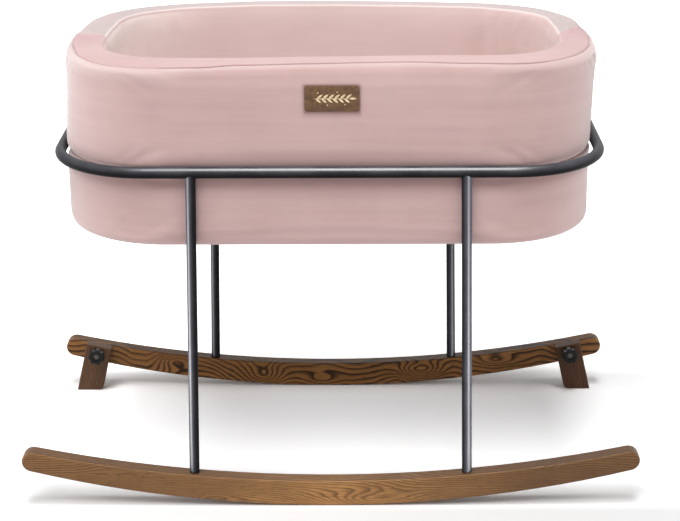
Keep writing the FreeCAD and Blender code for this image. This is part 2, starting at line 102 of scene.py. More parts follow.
def ramp(tree, value, low, high, toLow=0.0, toHigh=1.0):
    sockets = {"Value": value, "From Min": low, "From Max": high, "To Min": toLow, "To Max": toHigh}
    return put(tree, "ShaderNodeMapRange", sockets, interpolation_type="SMOOTHSTEP").outputs[0]


def mixed(tree, amount, first, second, blendType="MIX"):
    sockets = {0: amount, 6: first, 7: second}
    return put(tree, "ShaderNodeMix", sockets, data_type="RGBA", blend_type=blendType).outputs[2]


def stretched(tree, vector, scale, shift=(0, 0, 0)):
    return put(tree, "ShaderNodeMapping", {"Vector": vector, "Scale": scale, "Location": shift}).outputs[0]


def cloudy(tree, vector, scale, detail=2.0, rough=0.5, bend=0.0):
    sockets = {"Vector": vector, "Scale": scale, "Detail": detail, "Roughness": rough, "Distortion": bend}
    return put(tree, "ShaderNodeTexNoise", sockets).outputs[0]


def ink(red, green, blue):
    return tuple(c / 12.92 if c <= 0.04045 else ((c + 0.055) / 1.055) ** 2.4
                 for c in (red / 255, green / 255, blue / 255)) + (1.0,)


def newGroup(name, inputs, outputs):
    group = bpy.data.node_groups.new(name, "ShaderNodeTree")
    for title, kind, value in inputs:
        socket = group.interface.new_socket(title, in_out="INPUT", socket_type=kind)
        if value is not None:
            socket.default_value = value
    for title, kind in outputs:
        group.interface.new_socket(title, in_out="OUTPUT", socket_type=kind)
    return group, group.nodes.new("NodeGroupInput").outputs, group.nodes.new("NodeGroupOutput").inputs


def newMaterial(name, **settings):
    material = bpy.data.materials.new(name)
    material.use_nodes = True
    tree = material.node_tree
    shader = tree.nodes["Principled BSDF"]
    for title, value in settings.items():
        shader.inputs[title.replace("_", " ")].default_value = value
    place = tree.nodes.new("ShaderNodeTexCoord").outputs["Object"]
    return material, tree, shader, place


def useGroup(tree, group, sockets):
    return put(tree, "ShaderNodeGroup", sockets, node_tree=group).outputs


def complete(tree, shader, colour, rough, height, strength, distance):
    tree.links.new(colour, shader.inputs["Base Color"])
    if rough:
        tree.links.new(rough, shader.inputs["Roughness"])
    bump = put(tree, "ShaderNodeBump", {"Height": height, "Strength": strength, "Distance": distance})
    tree.links.new(bump.outputs[0], shader.inputs["Normal"])


# shared effects


def makeVelvetPile():
    group, given, result = newGroup(
        "velvetPile",
        [("Vector", "NodeSocketVector", None), ("Streaks", "NodeSocketVector", (3, 3, 60))],
        [("Tone", "NodeSocketFloat"), ("Height", "NodeSocketFloat")])
    blotch = cloudy(group, given["Vector"], 9, 3, 0.55)
    wide = cloudy(group, stretched(group, given["Vector"], (2, 2, 5)), 1, 2)
    brushed = put(group, "ShaderNodeVectorMath", {0: given["Vector"], 1: given["Streaks"]}, operation="MULTIPLY")
    streak = cloudy(group, brushed.outputs[0], 1, 3, 0.6)
    nap = cloudy(group, given["Vector"], 1500, 1)
    tone = weighted(group, (blotch, 0.32), (streak, 0.3), (wide, 0.22), (nap, 0.16))
    group.links.new(ramp(group, tone, 0.3, 0.7), result["Tone"])
    group.links.new(weighted(group, (nap, 0.7), (streak, 0.5)), result["Height"])
    return group


def makeWoodFigure():
    group, given, result = newGroup(
        "woodFigure",
        [("Vector", "NodeSocketVector", None), ("Reach", "NodeSocketVector", None)] +
        [(title, "NodeSocketFloat", None) for title in ("Spacing", "Lean", "Wander", "Line", "Seed", "Knots")],
        [(title, "NodeSocketFloat") for title in ("Rings", "Fibre", "Pores")])
    seeded = put(group, "ShaderNodeCombineXYZ", {0: given["Seed"]}).outputs[0]
    moved = put(group, "ShaderNodeVectorMath", {0: given["Vector"], 1: seeded}, operation="ADD").outputs[0]
    split = put(group, "ShaderNodeSeparateXYZ", {0: moved}).outputs
    spread = put(group, "ShaderNodeVectorMath", {0: moved, 1: given["Reach"]}, operation="MULTIPLY").outputs[0]
    broad = calc(group, "SUBTRACT", cloudy(group, spread, 1, 1.5, 0.45, 0.4), 0.5)
    ripple = calc(group, "SUBTRACT", cloudy(group, stretched(group, moved, (26, 160, 160)), 1, 2, 0.55), 0.5)
    # the growth rings are level lines of this field
    field = weighted(group, (broad, given["Wander"]), (split[2], given["Lean"]), (split[1], 0.4),
                     (given["Knots"], 1), (ripple, 0.003))
    turns = calc(group, "FRACT", calc(group, "DIVIDE", field, given["Spacing"]))
    rise = ramp(group, turns, calc(group, "SUBTRACT", 0.93, given["Line"]), 0.86)
    fall = ramp(group, turns, 0.9, 1.0, 1.0, 0.0)
    group.links.new(calc(group, "MULTIPLY", rise, fall), result["Rings"])
    fibre = cloudy(group, stretched(group, moved, (14, 700, 700)), 1, 3, 0.6)
    group.links.new(fibre, result["Fibre"])
    pores = cloudy(group, stretched(group, moved, (60, 1500, 1500)), 1, 1)
    group.links.new(ramp(group, pores, 0.58, 0.7), result["Pores"])
    return group


def makeEdgeWear():
    group, given, result = newGroup(
        "edgeWear", [("Vector", "NodeSocketVector", None), ("Reach", "NodeSocketFloat", 0.003)],
        [("Wear", "NodeSocketFloat")])
    soft = put(group, "ShaderNodeBevel", {"Radius": given["Reach"]}, samples=4).outputs[0]
    sharp = group.nodes.new("ShaderNodeNewGeometry").outputs["Normal"]
    facing = put(group, "ShaderNodeVectorMath", {0: soft, 1: sharp}, operation="DOT_PRODUCT").outputs["Value"]
    patchy = cloudy(group, stretched(group, given["Vector"], (30, 160, 160)), 1, 3, 0.6)
    edge = ramp(group, facing, 0.995, 0.93)
    group.links.new(calc(group, "MULTIPLY", edge, ramp(group, patchy, 0.35, 0.65)), result["Wear"])
    return group


velvetPile = makeVelvetPile()
woodFigure = makeWoodFigure()
edgeWear = makeEdgeWear()

# finishes

# for the lining, low and high colour the inner wall brighter than crownLow and crownHigh colour the crown, standing
# in for the light that reaches in less; the rear velvet's greyer crown is a painted sheen, and the lightest colour in
# each is for painted highlights
velvets = {
    "pinkVelvet": {"low": (190, 159, 156), "high": (204, 174, 171), "crownLow": (190, 159, 156),
                   "crownHigh": (204, 174, 171), "pale": (236, 218, 215), "sheen": 0.6, "streaks": (3, 3, 70)},
    "rosyVelvet": {"low": (222, 197, 194), "high": (233, 208, 205), "crownLow": (205, 174, 172),
                   "crownHigh": (217, 186, 184), "pale": (242, 218, 216), "sheen": 0.35, "streaks": (8, 8, 50)},
    "paleVelvet": {"low": (222, 197, 194), "high": (233, 208, 205), "crownLow": (198, 181, 179),
                   "crownHigh": (211, 194, 193), "pale": (248, 232, 228), "sheen": 0.35, "streaks": (8, 8, 50)},
}


def makeVelvet(name):
    look = velvets[name]
    material, tree, shader, place = newMaterial(
        name, Roughness=0.9, Sheen_Weight=look["sheen"], Sheen_Roughness=0.4, Sheen_Tint=(1, 1, 1, 1),
        Specular_IOR_Level=0.1)
    pile = useGroup(tree, velvetPile, {"Vector": place, "Streaks": look["streaks"]})
    crown, blush, pale, deep = [put(tree, "ShaderNodeAttribute", attribute_name=mark).outputs["Fac"]
                                for mark in ("crown", "blush", "pale", "deep")]
    colour = mixed(tree, pile["Tone"], ink(*look["low"]), ink(*look["high"]))
    # the crown and the inner wall are lit and shaded copies of one velvet: the inner wall's brighter colour stands in
    # for the light that reaches in less, and the rear crown's greyer colour is a painted sheen
    overCrown = mixed(tree, pile["Tone"], ink(*look["crownLow"]), ink(*look["crownHigh"]))
    colour = mixed(tree, crown, colour, overCrown)
    colour = mixed(tree, blush, colour, ink(204, 166, 170))
    # the lighter colour is a painted highlight and sheen, laid beside seams, along the rim's edges, at the ends and
    # at the left of the inner wall; the dark one is painted shade, laid in seams and folds, below the rim's roll,
    # round the tag and the ring, and at the right of the inner wall
    colour = mixed(tree, pale, colour, ink(*look["pale"]))
    colour = mixed(tree, deep, colour, ink(118, 84, 82))
    complete(tree, shader, colour, ramp(tree, pile["Tone"], 0, 1, 0.95, 0.82), pile["Height"], 0.25, 0.0006)
    return material


plainWood = {"glow": (0, 5), "lean": 1, "wander": 0.03, "dusk": (5, 6, 0)}
stopWood = {**plainWood, "centre": (0, -0.2, 0), "spacing": 0.0046, "reach": (6, 12, 12), "line": 0.6,
            "strength": 0.5, "top": 0.3}

# glow is the middle and half width of the golden stretch, dusk the start, end and strength of the darker stretch, and
# each knot is (x, z, height, half width, half depth)
woods = {
    "frontRockerWood": {
        "centre": (0, 0.262, 0.022), "light": (143, 102, 60), "dark": (62, 39, 20), "gold": (190, 138, 81),
        "glow": (0.01, 0.24), "spacing": 0.0038, "lean": 1.0, "wander": 0.06, "reach": (3.5, 6, 6), "line": 0.7,
        "strength": 0.62, "specular": 0.3, "top": 0.42, "dusk": (0.18, 0.36, 0.38), "seed": 3.1,
        "knots": [(-0.33, 0.052, 0.016, 0.035, 0.009), (-0.19, 0.018, -0.022, 0.06, 0.012),
                  (0.33, 0.066, 0.014, 0.04, 0.01), (0.06, 0.01, 0.018, 0.09, 0.014)]},
    "rearRockerWood": {
        "centre": (0, -0.234, 0.022), "light": (160, 110, 62), "dark": (34, 20, 11), "gold": (166, 114, 62),
        "glow": (0.02, 0.3), "spacing": 0.0098, "lean": 0.9, "wander": 0.1, "reach": (8, 4, 4), "line": 0.6,
        "strength": 0.95, "specular": 0.2, "top": 0.6, "dusk": (5, 6, 0), "seed": 11.7,
        "knots": [(0.16, 0.031, 0.04, 0.04, 0.014), (-0.3, 0.05, -0.022, 0.03, 0.014),
                  (0.31, 0.05, 0.018, 0.04, 0.011), (-0.12, 0.02, 0.022, 0.03, 0.014),
                  (-0.02, 0.012, 0.022, 0.035, 0.014)]},
    "leftStopWood": {**stopWood, "turn": 76.9, "light": (104, 74, 51), "dark": (48, 32, 21), "gold": (112, 78, 53),
                     "specular": 0.25, "seed": 5.2},
    "rightStopWood": {**stopWood, "turn": 103.1, "light": (92, 63, 44), "dark": (38, 24, 17), "gold": (98, 66, 45),
                      "specular": 0.2, "seed": 6.9},
    "railWood": {**plainWood, "centre": (0, 0, 0), "light": (205, 178, 138), "dark": (160, 124, 84),
                 "gold": (210, 184, 142), "spacing": 0.006, "reach": (4, 16, 16), "line": 0.5, "strength": 0.6,
                 "specular": 0.3, "top": 0, "seed": 8.4},
}


def makeWood(name):
    look = woods[name]
    material, tree, shader, place = newMaterial(name, Specular_IOR_Level=look["specular"])
    turn = (0, math.radians(look.get("turn", 0)), 0)
    grain = put(tree, "ShaderNodeMapping", {"Vector": place, "Location": look["centre"], "Rotation": turn}).outputs[0]
    parts = put(tree, "ShaderNodeSeparateXYZ", {0: place}).outputs

    def squared(value, middle, width):
        return calc(tree, "POWER", calc(tree, "DIVIDE", calc(tree, "SUBTRACT", value, middle), width), 2)

    knots = calc(tree, "MULTIPLY", parts[0], 0)
    for x, z, height, width, depth in look.get("knots", []):
        far = calc(tree, "ADD", squared(parts[0], x, width), squared(parts[2], z, depth))
        fall = calc(tree, "EXPONENT", calc(tree, "MULTIPLY", far, -1))
        knots = calc(tree, "ADD", knots, calc(tree, "MULTIPLY", fall, height))
    figure = useGroup(tree, woodFigure, {
        "Vector": grain, "Spacing": look["spacing"], "Lean": look["lean"], "Wander": look["wander"],
        "Reach": look["reach"], "Line": look["line"], "Seed": look["seed"], "Knots": knots})
    wear = useGroup(tree, edgeWear, {"Vector": place})["Wear"]
    light, dark, gold = ink(*look["light"]), ink(*look["dark"]), ink(*look["gold"])
    middle, reach = look["glow"]
    away = calc(tree, "ABSOLUTE", calc(tree, "SUBTRACT", parts[0], middle))
    base = mixed(tree, ramp(tree, away, 0, reach, 1, 0), light, gold)
    broad = cloudy(tree, stretched(tree, grain, (5, 14, 14)), 1, 3)
    base = mixed(tree, ramp(tree, broad, 0.35, 0.7, 0, 0.4), base, dark)
    firm = cloudy(tree, stretched(tree, grain, (4, 30, 30), (3, 1, 2)), 1, 2)
    firm = ramp(tree, firm, 0.3, 0.6, look["strength"] * 0.55, look["strength"])
    lines = calc(tree, "MULTIPLY", figure["Rings"], firm)
    base = mixed(tree, lines, base, dark)
    base = mixed(tree, ramp(tree, figure["Fibre"], 0.35, 0.75, 0, 0.45), base, dark)
    base = mixed(tree, calc(tree, "MULTIPLY", figure["Pores"], 0.5), base, dark)
    base = mixed(tree, calc(tree, "MULTIPLY", wear, 0.35), base, gold)
    # the wood is darker on its upper faces and towards one end
    duskStart, duskEnd, dusk = look["dusk"]
    base = mixed(tree, ramp(tree, parts[0], duskStart, duskEnd, 0, dusk), base, dark)
    facing = tree.nodes.new("ShaderNodeTexCoord").outputs["Normal"]
    upward = put(tree, "ShaderNodeSeparateXYZ", {0: facing}).outputs[2]
    base = mixed(tree, ramp(tree, upward, 0.55, 0.95, 0, look["top"]), base, dark)
    height = weighted(tree, (figure["Fibre"], 1), (figure["Rings"], 0.6))
    complete(tree, shader, base, ramp(tree, figure["Fibre"], 0.3, 0.7, 0.36, 0.5), height, 0.2, 0.0004)
    return material


metals = {
    "blackSteel": {"colour": (11, 11, 13), "metallic": 0.0, "rough": (0.33, 0.37), "speck": 400, "specular": 0.07},
    # legSteel is the ring's black steel made lighter, a painted reflection standing in for the brighter dark sides of
    # the legs
    "legSteel": {"colour": (19, 19, 22), "metallic": 0.0, "rough": (0.36, 0.4), "speck": 400, "specular": 0.07},
    "zincSteel": {"colour": (168, 170, 172), "metallic": 1.0, "rough": (0.28, 0.42), "speck": 1200, "specular": 0.5},
    "brassInsert": {"colour": (84, 70, 44), "metallic": 1.0, "rough": (0.4, 0.55), "speck": 1200, "specular": 0.5},
    "studSteel": {"colour": (88, 88, 92), "metallic": 1.0, "rough": (0.35, 0.5), "speck": 1200, "specular": 0.5},
    "knobPlastic": {"colour": (17, 17, 20), "metallic": 0.0, "rough": (0.2, 0.3), "speck": 700, "specular": 0.22},
}


def makeMetal(name):
    look = metals[name]
    material, tree, shader, place = newMaterial(name, Metallic=look["metallic"], Specular_IOR_Level=look["specular"])
    speck = cloudy(tree, place, look["speck"], 2)
    cloud = cloudy(tree, place, 25, 3)
    low = ink(*look["colour"])
    high = ink(*[min(255, value + 6) for value in look["colour"]])
    complete(tree, shader, mixed(tree, ramp(tree, cloud, 0.3, 0.7), low, high),
             ramp(tree, cloud, 0.3, 0.7, *look["rough"]), speck, 0.03, 0.00005)
    return material


def makePlywood():
    material, tree, shader, place = newMaterial("plywood", Specular_IOR_Level=0.3, Roughness=0.6)
    fibre = cloudy(tree, stretched(tree, place, (20, 400, 400)), 1, 3, 0.6)
    broad = cloudy(tree, stretched(tree, place, (3, 25, 25)), 1, 3)
    colour = mixed(tree, ramp(tree, broad, 0.3, 0.7), ink(214, 184, 140), ink(190, 156, 112))
    colour = mixed(tree, ramp(tree, fibre, 0.4, 0.7, 0, 0.4), colour, ink(160, 122, 80))
    complete(tree, shader, colour, None, fibre, 0.2, 0.0003)
    return material


def makeCloth(name, low, high, threads):
    material, tree, shader, place = newMaterial(name, Specular_IOR_Level=0.2, Sheen_Weight=0.1, Roughness=0.85)
    parts = put(tree, "ShaderNodeSeparateXYZ", {0: place}).outputs
    warp = calc(tree, "SINE", calc(tree, "MULTIPLY", parts[0], threads))
    weft = calc(tree, "SINE", calc(tree, "MULTIPLY", calc(tree, "ADD", parts[1], parts[2]), threads))
    weave = calc(tree, "MULTIPLY", warp, weft)
    cloud = cloudy(tree, place, 14, 4, 0.6)
    tone = calc(tree, "ADD", calc(tree, "MULTIPLY", weave, 0.14), cloud)
    complete(tree, shader, mixed(tree, ramp(tree, tone, 0.3, 0.7), ink(*low), ink(*high)), None, weave, 0.25, 0.0003)
    return material


def makeLeather():
    material, tree, shader, place = newMaterial("brownLeather", Specular_IOR_Level=0.4)
    cells = put(tree, "ShaderNodeTexVoronoi", {"Vector": place, "Scale": 900}, feature="DISTANCE_TO_EDGE").outputs[0]
    cloud = cloudy(tree, place, 160, 4, 0.65)
    wear = useGroup(tree, edgeWear, {"Vector": place, "Reach": 0.0012})["Wear"]
    colour = mixed(tree, ramp(tree, cloud, 0.32, 0.68), ink(88, 62, 40), ink(122, 90, 58))
    colour = mixed(tree, ramp(tree, cells, 0.0, 0.12, 0.5, 0.0), colour, ink(66, 44, 32))
    colour = mixed(tree, wear, colour, ink(58, 38, 30))
    complete(tree, shader, colour, ramp(tree, cloud, 0.3, 0.7, 0.5, 0.68), weighted(tree, (cells, 1), (cloud, 0.4)),
             0.35, 0.0004)
    return material


def makePrint():
    material, tree, shader, place = newMaterial("creamPrint", Specular_IOR_Level=0.3, Roughness=0.6)
    worn = cloudy(tree, place, 700, 3)
    colour = mixed(tree, ramp(tree, worn, 0.35, 0.7), ink(236, 214, 176), ink(206, 178, 136))
    complete(tree, shader, colour, None, worn, 0.2, 0.0002)
    return material


finishes = {name: makeVelvet(name) for name in velvets}
finishes.update({name: makeWood(name) for name in woods})
finishes.update({name: makeMetal(name) for name in metals})
finishes["plywood"] = makePlywood()
finishes["mattressCloth"] = makeCloth("mattressCloth", (224, 215, 208), (236, 229, 222), 4200)
finishes["dustCloth"] = makeCloth("dustCloth", (44, 43, 45), (62, 60, 62), 3200)
finishes["brownLeather"] = makeLeather()
finishes["creamPrint"] = makePrint()
print("finishes are made")

# the rigid frame keeps its solids and gets its finishes

nodeFinishes = {
    "blackSteel": ["ring_tube"],
    "legSteel": ["front_left_leg", "front_right_leg", "rear_left_leg", "rear_right_leg"],
    "frontRockerWood": ["rocker_front"],
    "rearRockerWood": ["rocker_rear"],
    "leftStopWood": ["stop_leg_left"],
    "rightStopWood": ["stop_leg_right"],
    "railWood": ["front_seat_rail", "rear_seat_rail"],
    "plywood": ["tub_hoop", "base_board"],
    "knobPlastic": ["stop_knob_left", "stop_knob_right"],
    "brassInsert": ["stop_inserts", "stop_knob_insert_left", "stop_knob_insert_right"],
    "studSteel": ["stop_studs", "stop_washer_left", "stop_washer_right"],
    "zincSteel": ["leg_thread_plugs", "rocker_bolts", "rocker_bolt_washers", "base_screws", "rail_screws"],
}


def dress(obj, finish):
    obj.data.materials.clear()
    obj.data.materials.append(finishes[finish])


for finish, names in nodeFinishes.items():
    for name in names:
        dress(nodes[name], finish)

# soft parts of the tub, in millimetres in section: r counts outwards from the tub's inner rectangle

tub = {
    "cornerX": 255, "cornerY": 78, "step": 6, "wallRadius": 171, "lowerRadius": 165, "liningRadius": 108,
    "hoopOuter": 153.2, "hoopInner": 144.8, "hoopTop": 700, "baseTop": 452.2, "ring": 563, "bottom": 438,
    "rollRadius": 12, "rollPlace": (158.5, 714.263), "seamAngle": 77.97,
    # for the ways round: the wall's length at a corner, the seam's and the lining's radius there, and the seam's
    # length from the middle of the left end to the middle of the right
    "wallCorner": 268.6, "seamRadius": 160, "liningWay": 130, "halfWay": 1168.6,
}
cornerX, cornerY = tub["cornerX"] * mm, tub["cornerY"] * mm

# the rim's skin counted from the outer seam, inwards as arcs of (centre, radius, first angle, last angle)
rimSkin = {"rollStart": 16.33, "arcs": [((126, 662.4), 72.6, 61.18, 90), ((126, 701), 34, 90, 115),
                                        ((113.32, 728.19), 4, 115, 180)]}


def onArc(centre, radius, degrees):
    angle = math.radians(degrees)
    return centre[0] + radius * math.cos(angle), centre[1] + radius * math.sin(angle)


def skinAt(u):
    if u < -rimSkin["rollStart"]:
        return Vector((tub["wallRadius"] - 0.5, tub["rollPlace"][1] + u + rimSkin["rollStart"])), Vector((1, 0))
    if u < 0:
        degrees = tub["seamAngle"] + math.degrees(u / tub["rollRadius"])
        return Vector(onArc(tub["rollPlace"], tub["rollRadius"], degrees)), Vector(onArc((0, 0), 1, degrees))
    for centre, radius, first, last in rimSkin["arcs"]:
        length = math.radians(last - first) * radius
        if u <= length:
            degrees = first + math.degrees(u / radius)
            return Vector(onArc(centre, radius, degrees)), Vector(onArc((0, 0), 1, degrees))
        u -= length
    top = onArc(centre, radius, 180)
    lean = 1.3 * (1 - math.exp(-u / 12))
    return Vector((top[0] - lean, top[1] - u)), Vector((-1, 0))


skinStep, skinStart, skinEnd = 0.25, -160, 330
skinSamples = [skinAt(skinStart + skinStep * count) for count in range(round((skinEnd - skinStart) / skinStep))]
skinTree = KDTree(len(skinSamples))
for count, (spot, normal) in enumerate(skinSamples):
    skinTree.insert((spot.x, spot.y, 0), count)
skinTree.balance()


def skinPosition(r, z):
    spot, count, _ = skinTree.find((r, z, 0))
    place, normal = skinSamples[count]
    return skinStart + skinStep * count, (Vector((r, z)) - place).dot(normal)


def tubPlace(co):
    core = Vector((max(-cornerX, min(cornerX, co.x)), max(-cornerY, min(cornerY, co.y))))
    arm = Vector((co.x, co.y)) - core
    return core, arm.length / mm, arm.normalized() if arm.length > 0 else Vector((1, 0))


def spots(obj):
    # each vertex with its core, its r, the way out from the core and its height
    for vert in obj.data.vertices:
        yield vert, *tubPlace(vert.co), vert.co.z / mm


def pushOut(vert, out, amount):
    vert.co.x += out.x * amount * mm
    vert.co.y += out.y * amount * mm


def keepWay(obj):
    layer = obj.data.attributes.new("way", "FLOAT", "POINT")
    for vert, _, r, _, z in spots(obj):
        u, off = skinPosition(r, z)
        layer.data[vert.index].value = u if abs(off) < 1 else 999


def readWay(obj):
    way = [0.0] * len(obj.data.vertices)
    obj.data.attributes["way"].data.foreach_get("value", way)
    return way


def wallSection():
    cove = [onArc((174.3, tub["ring"]), 9.4, degrees) for degrees in (178, 163, 148, 134, 122)]
    wall = []
    for count in range(1, 26):
        z = 571 + 143.2 * count / 26
        crown = ((z - 642) / 71) ** 2 * (1.5 if z < 642 else 0.5)
        wall.append((tub["wallRadius"] - crown, z))
    roll = [tuple(skinAt(u)[0]) for u in (-16.3, -13, -9.8, -7, -5, -3.6, -2.4, -1.3, -0.5, -0.05)]
    inside = [(159.8, 722), (157.5, 714), (155, 706)]
    inside += [(tub["hoopOuter"], tub["hoopTop"] - 11.4 * count) for count in range(13)]
    return cove + wall + roll + inside + [(159, tub["ring"])]


def liningSection():
    hoop, low = tub["hoopInner"], tub["baseTop"]
    skin = [tuple(skinAt(u)[0]) for u in (0.05, 0.5, 1.3, 2.4, 4, 7, 12, 17, 22, 27, 32, 36.5, 41, 45, 48, 50, 51.3,
                                          52.4, 53.4, 54.4, 55.4, 56.8, 59, 63)]
    wall = [(tub["liningRadius"], 717 - 264.8 * (count + 1) / 44) for count in range(44)]
    floor = [(r, low) for r in (115, 123, 131, 138, hoop)]
    inside = [(hoop, low + 248.1 * (count + 1) / 20) for count in range(20)]
    return skin + wall + floor + inside + [(149, 700.3), (153.2, 700.3), (155, 706), (157.5, 714), (159.8, 722)]


def drumSection():
    low, hoop, hem = tub["bottom"], tub["hoopOuter"], 439.9
    face = [(tub["lowerRadius"], 562.6 - 108.6 * count / 20) for count in range(21)]
    edge = [onArc((149, 454), 16, degrees) for degrees in (-12, -26, -40, -54, -68, -80, -90)]
    under = [(142, low), (135, low), (128, low), (128, hem), (137, hem), (145, hem), (hoop, hem)]
    inside = [(hoop, hem + 122.7 * (count + 1) / 12) for count in range(12)]
    return face + edge + under + inside + [(159, 562.6)]


def layChain(bm, section, y):
    verts = [bm.verts.new(((tub["cornerX"] + r) * mm, y * mm, z * mm)) for r, z in section]
    return [bm.edges.new((verts[index - 1], verts[index])) for index in range(len(verts))]


def runOn(bm, edges, distances, direction):
    for distance in distances:
        made = bmesh.ops.extrude_edge_only(bm, edges=edges)["geom"]
        verts = {item for item in made if isinstance(item, bmesh.types.BMVert)}
        bmesh.ops.translate(bm, verts=list(verts), vec=Vector(direction) * distance * mm)
        edges = [item for item in made if isinstance(item, bmesh.types.BMEdge) and set(item.verts) <= verts]
    return edges


def turnOn(bm, edges, centre, angle, steps):
    geometry = edges + list({vert for edge in edges for vert in edge.verts})
    spot = (centre[0] * tub["cornerX"] * mm, centre[1] * tub["cornerY"] * mm, 0)
    made = bmesh.ops.spin(bm, geom=geometry, cent=spot, axis=(0, 0, 1), angle=angle, steps=steps)["geom_last"]
    return [item for item in made if isinstance(item, bmesh.types.BMEdge)]


def evenly(length, step):
    count = max(1, round(length / step))
    return [length / count] * count


def finishMesh(bm, name):
    bmesh.ops.recalc_face_normals(bm, faces=bm.faces)
    mesh = bpy.data.meshes.new(name)
    bm.to_mesh(mesh)
    bm.free()
    mesh.shade_smooth()
    obj = bpy.data.objects.new(name, mesh)
    scene.collection.objects.link(obj)
    return obj


def wholeRing(name, section, step):
    bm = bmesh.new()
    longSide, endSide = 2 * tub["cornerX"], 2 * tub["cornerY"]
    steps = round(tub["wallRadius"] * math.pi / 2 / step)
    edges = layChain(bm, section, -tub["cornerY"])
    for length, way, corner in ((endSide, (0, 1, 0), (1, 1)), (longSide, (-1, 0, 0), (-1, 1)),
                                (endSide, (0, -1, 0), (-1, -1)), (longSide, (1, 0, 0), (1, -1))):
        edges = runOn(bm, edges, evenly(length, step), way)
        edges = turnOn(bm, edges, corner, math.pi / 2, steps)
    bmesh.ops.remove_doubles(bm, verts=bm.verts, dist=0.00002)
    return finishMesh(bm, name)


def halfRing(name, section, face):
    # one side of the cross seams, where its ends are closed and its steps are finer
    bm = bmesh.new()
    seam, step, fine = rimSeam["crossY"], tub["step"], [0.5, 1, 1.5, 2.5, 4]
    endSide = evenly(tub["cornerY"] - face * seam - sum(fine), step)
    steps = round(140 * math.pi / 2 / step)
    edges = layChain(bm, section, seam + face * 0.05)
    bmesh.ops.contextual_create(bm, geom=edges)
    for lengths, way, corner in ((fine + endSide, (0, face, 0), (1, face)),
                                 (evenly(2 * tub["cornerX"], step), (-1, 0, 0), (-1, face))):
        edges = runOn(bm, edges, lengths, way)
        edges = turnOn(bm, edges, corner, face * math.pi / 2, steps)
    edges = runOn(bm, edges, endSide + fine[::-1], (0, -face, 0))
    bmesh.ops.contextual_create(bm, geom=edges)
    bmesh.ops.remove_doubles(bm, verts=bm.verts, dist=0.00002)
    return finishMesh(bm, name)


def swell(obj, look):
    start = [vert.co.copy() for vert in obj.data.vertices]
    cloth = obj.modifiers.new("swell", "CLOTH")
    cloth.settings.quality = look["quality"]
    cloth.settings.mass = 0.3
    cloth.settings.tension_stiffness = cloth.settings.compression_stiffness = look["stiffness"]
    cloth.settings.use_pressure = True
    cloth.settings.uniform_pressure_force = look["pressure"]
    cloth.settings.vertex_group_mass = "held"
    cloth.settings.effector_weights.gravity = 0
    cloth.point_cache.frame_start = 1
    cloth.point_cache.frame_end = look["frames"]
    for count in range(1, look["frames"] + 1):
        scene.frame_set(count)
    moved = obj.evaluated_get(bpy.context.evaluated_depsgraph_get()).to_mesh()
    reach = 0
    for index, vert in enumerate(obj.data.vertices):
        shift = moved.vertices[index].co - start[index]
        reach = max(reach, shift.length)
        if shift.length > look["cap"] * mm:
            shift *= look["cap"] * mm / shift.length
        vert.co = start[index] + shift
    obj.modifiers.remove(cloth)
    scene.frame_set(1)
    print(obj.name, "swelled, furthest", round(reach / mm, 1), "mm before the cap")


def hold(obj, rule):
    group = obj.vertex_groups.new(name="held")
    for vert, _, r, _, z in spots(obj):
        if rule(vert.co, r, z):
            group.add([vert.index], 1, "REPLACE")


def hump(value, low, high):
    return math.sin(math.pi * min(1, max(0, (value - low) / (high - low))))


def drawIn(pad, look, share):
    # the skin starts a little inside its shape, and the pressure fills it out
    for vert, _, r, out, z in spots(pad):
        part = share(r, z)
        vert.co.x -= out.x * look["start"] * part * mm
        vert.co.y -= out.y * look["start"] * part * mm


def applied(obj, kind, **settings):
    modifier = obj.modifiers.new("shape", kind)
    for name, value in settings.items():
        setattr(modifier, name, value)
    done = bpy.data.meshes.new_from_object(obj.evaluated_get(bpy.context.evaluated_depsgraph_get()))
    obj.modifiers.remove(modifier)
    old = obj.data
    obj.data = done
    bpy.data.meshes.remove(old)


def refine(obj):
    applied(obj, "SUBSURF", levels=1, render_levels=1)
    obj.vertex_groups.clear()
    obj.data.shade_smooth()


def between(knots, value):
    for (low, lowValue), (high, highValue) in zip(knots, knots[1:]):
        if value <= high:
            share = max(0, (value - low) / (high - low))
            return lowValue + (highValue - lowValue) * share * share * (3 - 2 * share)
    return knots[-1][1]


rimSeam = {
    # how far in from the outer wall the seam runs, against the way round in mm from the middle of the left end,
    # forwards first
    "inset": [(-1168, 10), (-260, 8), (0, 11), (95, 12.5), (170, 9.5), (209, 8), (240, 8), (262, 9), (320, 9.5),
              (384, 11.5), (449, 17), (560, 18), (640, 19.6), (701, 19.6), (799, 15.5), (914, 12), (970, 11.5),
              (1060, 11), (1168, 10)],
    # against the same way, where the seam is shallow and faint, where a painted highlight lies on the roll under it,
    # and how strong the painted highlight right beside it is
    "corners": [(-1168, 1), (-1000, 0), (-180, 0), (0, 1), (300, 1), (400, 0), (880, 0), (950, 1), (1168, 1)],
    "brushed": [(-1168, 0.45), (-1000, 0), (-180, 0), (0, 1), (300, 1), (400, 0), (800, 0), (880, 0.45),
                (1168, 0.45)],
    "ridgeHighlight": [(300, 0), (370, 0.36), (780, 0.36), (880, 0.1), (1168, 0.1)],
    "reach": 17, "groove": 2.1, "grooveWidth": 1.3, "roll": 0.6, "fold": 52.5, "rearFold": 0.7,
    # shift of the two cross seams along the end, against r
    "left": [(104, -34), (108, -32), (112, -24), (134, -18), (155, -1), (175, 0)],
    "right": [(104, -24), (112, -20), (123, -7), (140, 17), (157, 44), (175, 46)],
    "crossReach": 90, "crossGroove": 2.4, "crossY": -20, "lap": 1.6, "rearLap": 0.3, "pucker": 2.6, "lowest": 330,
}


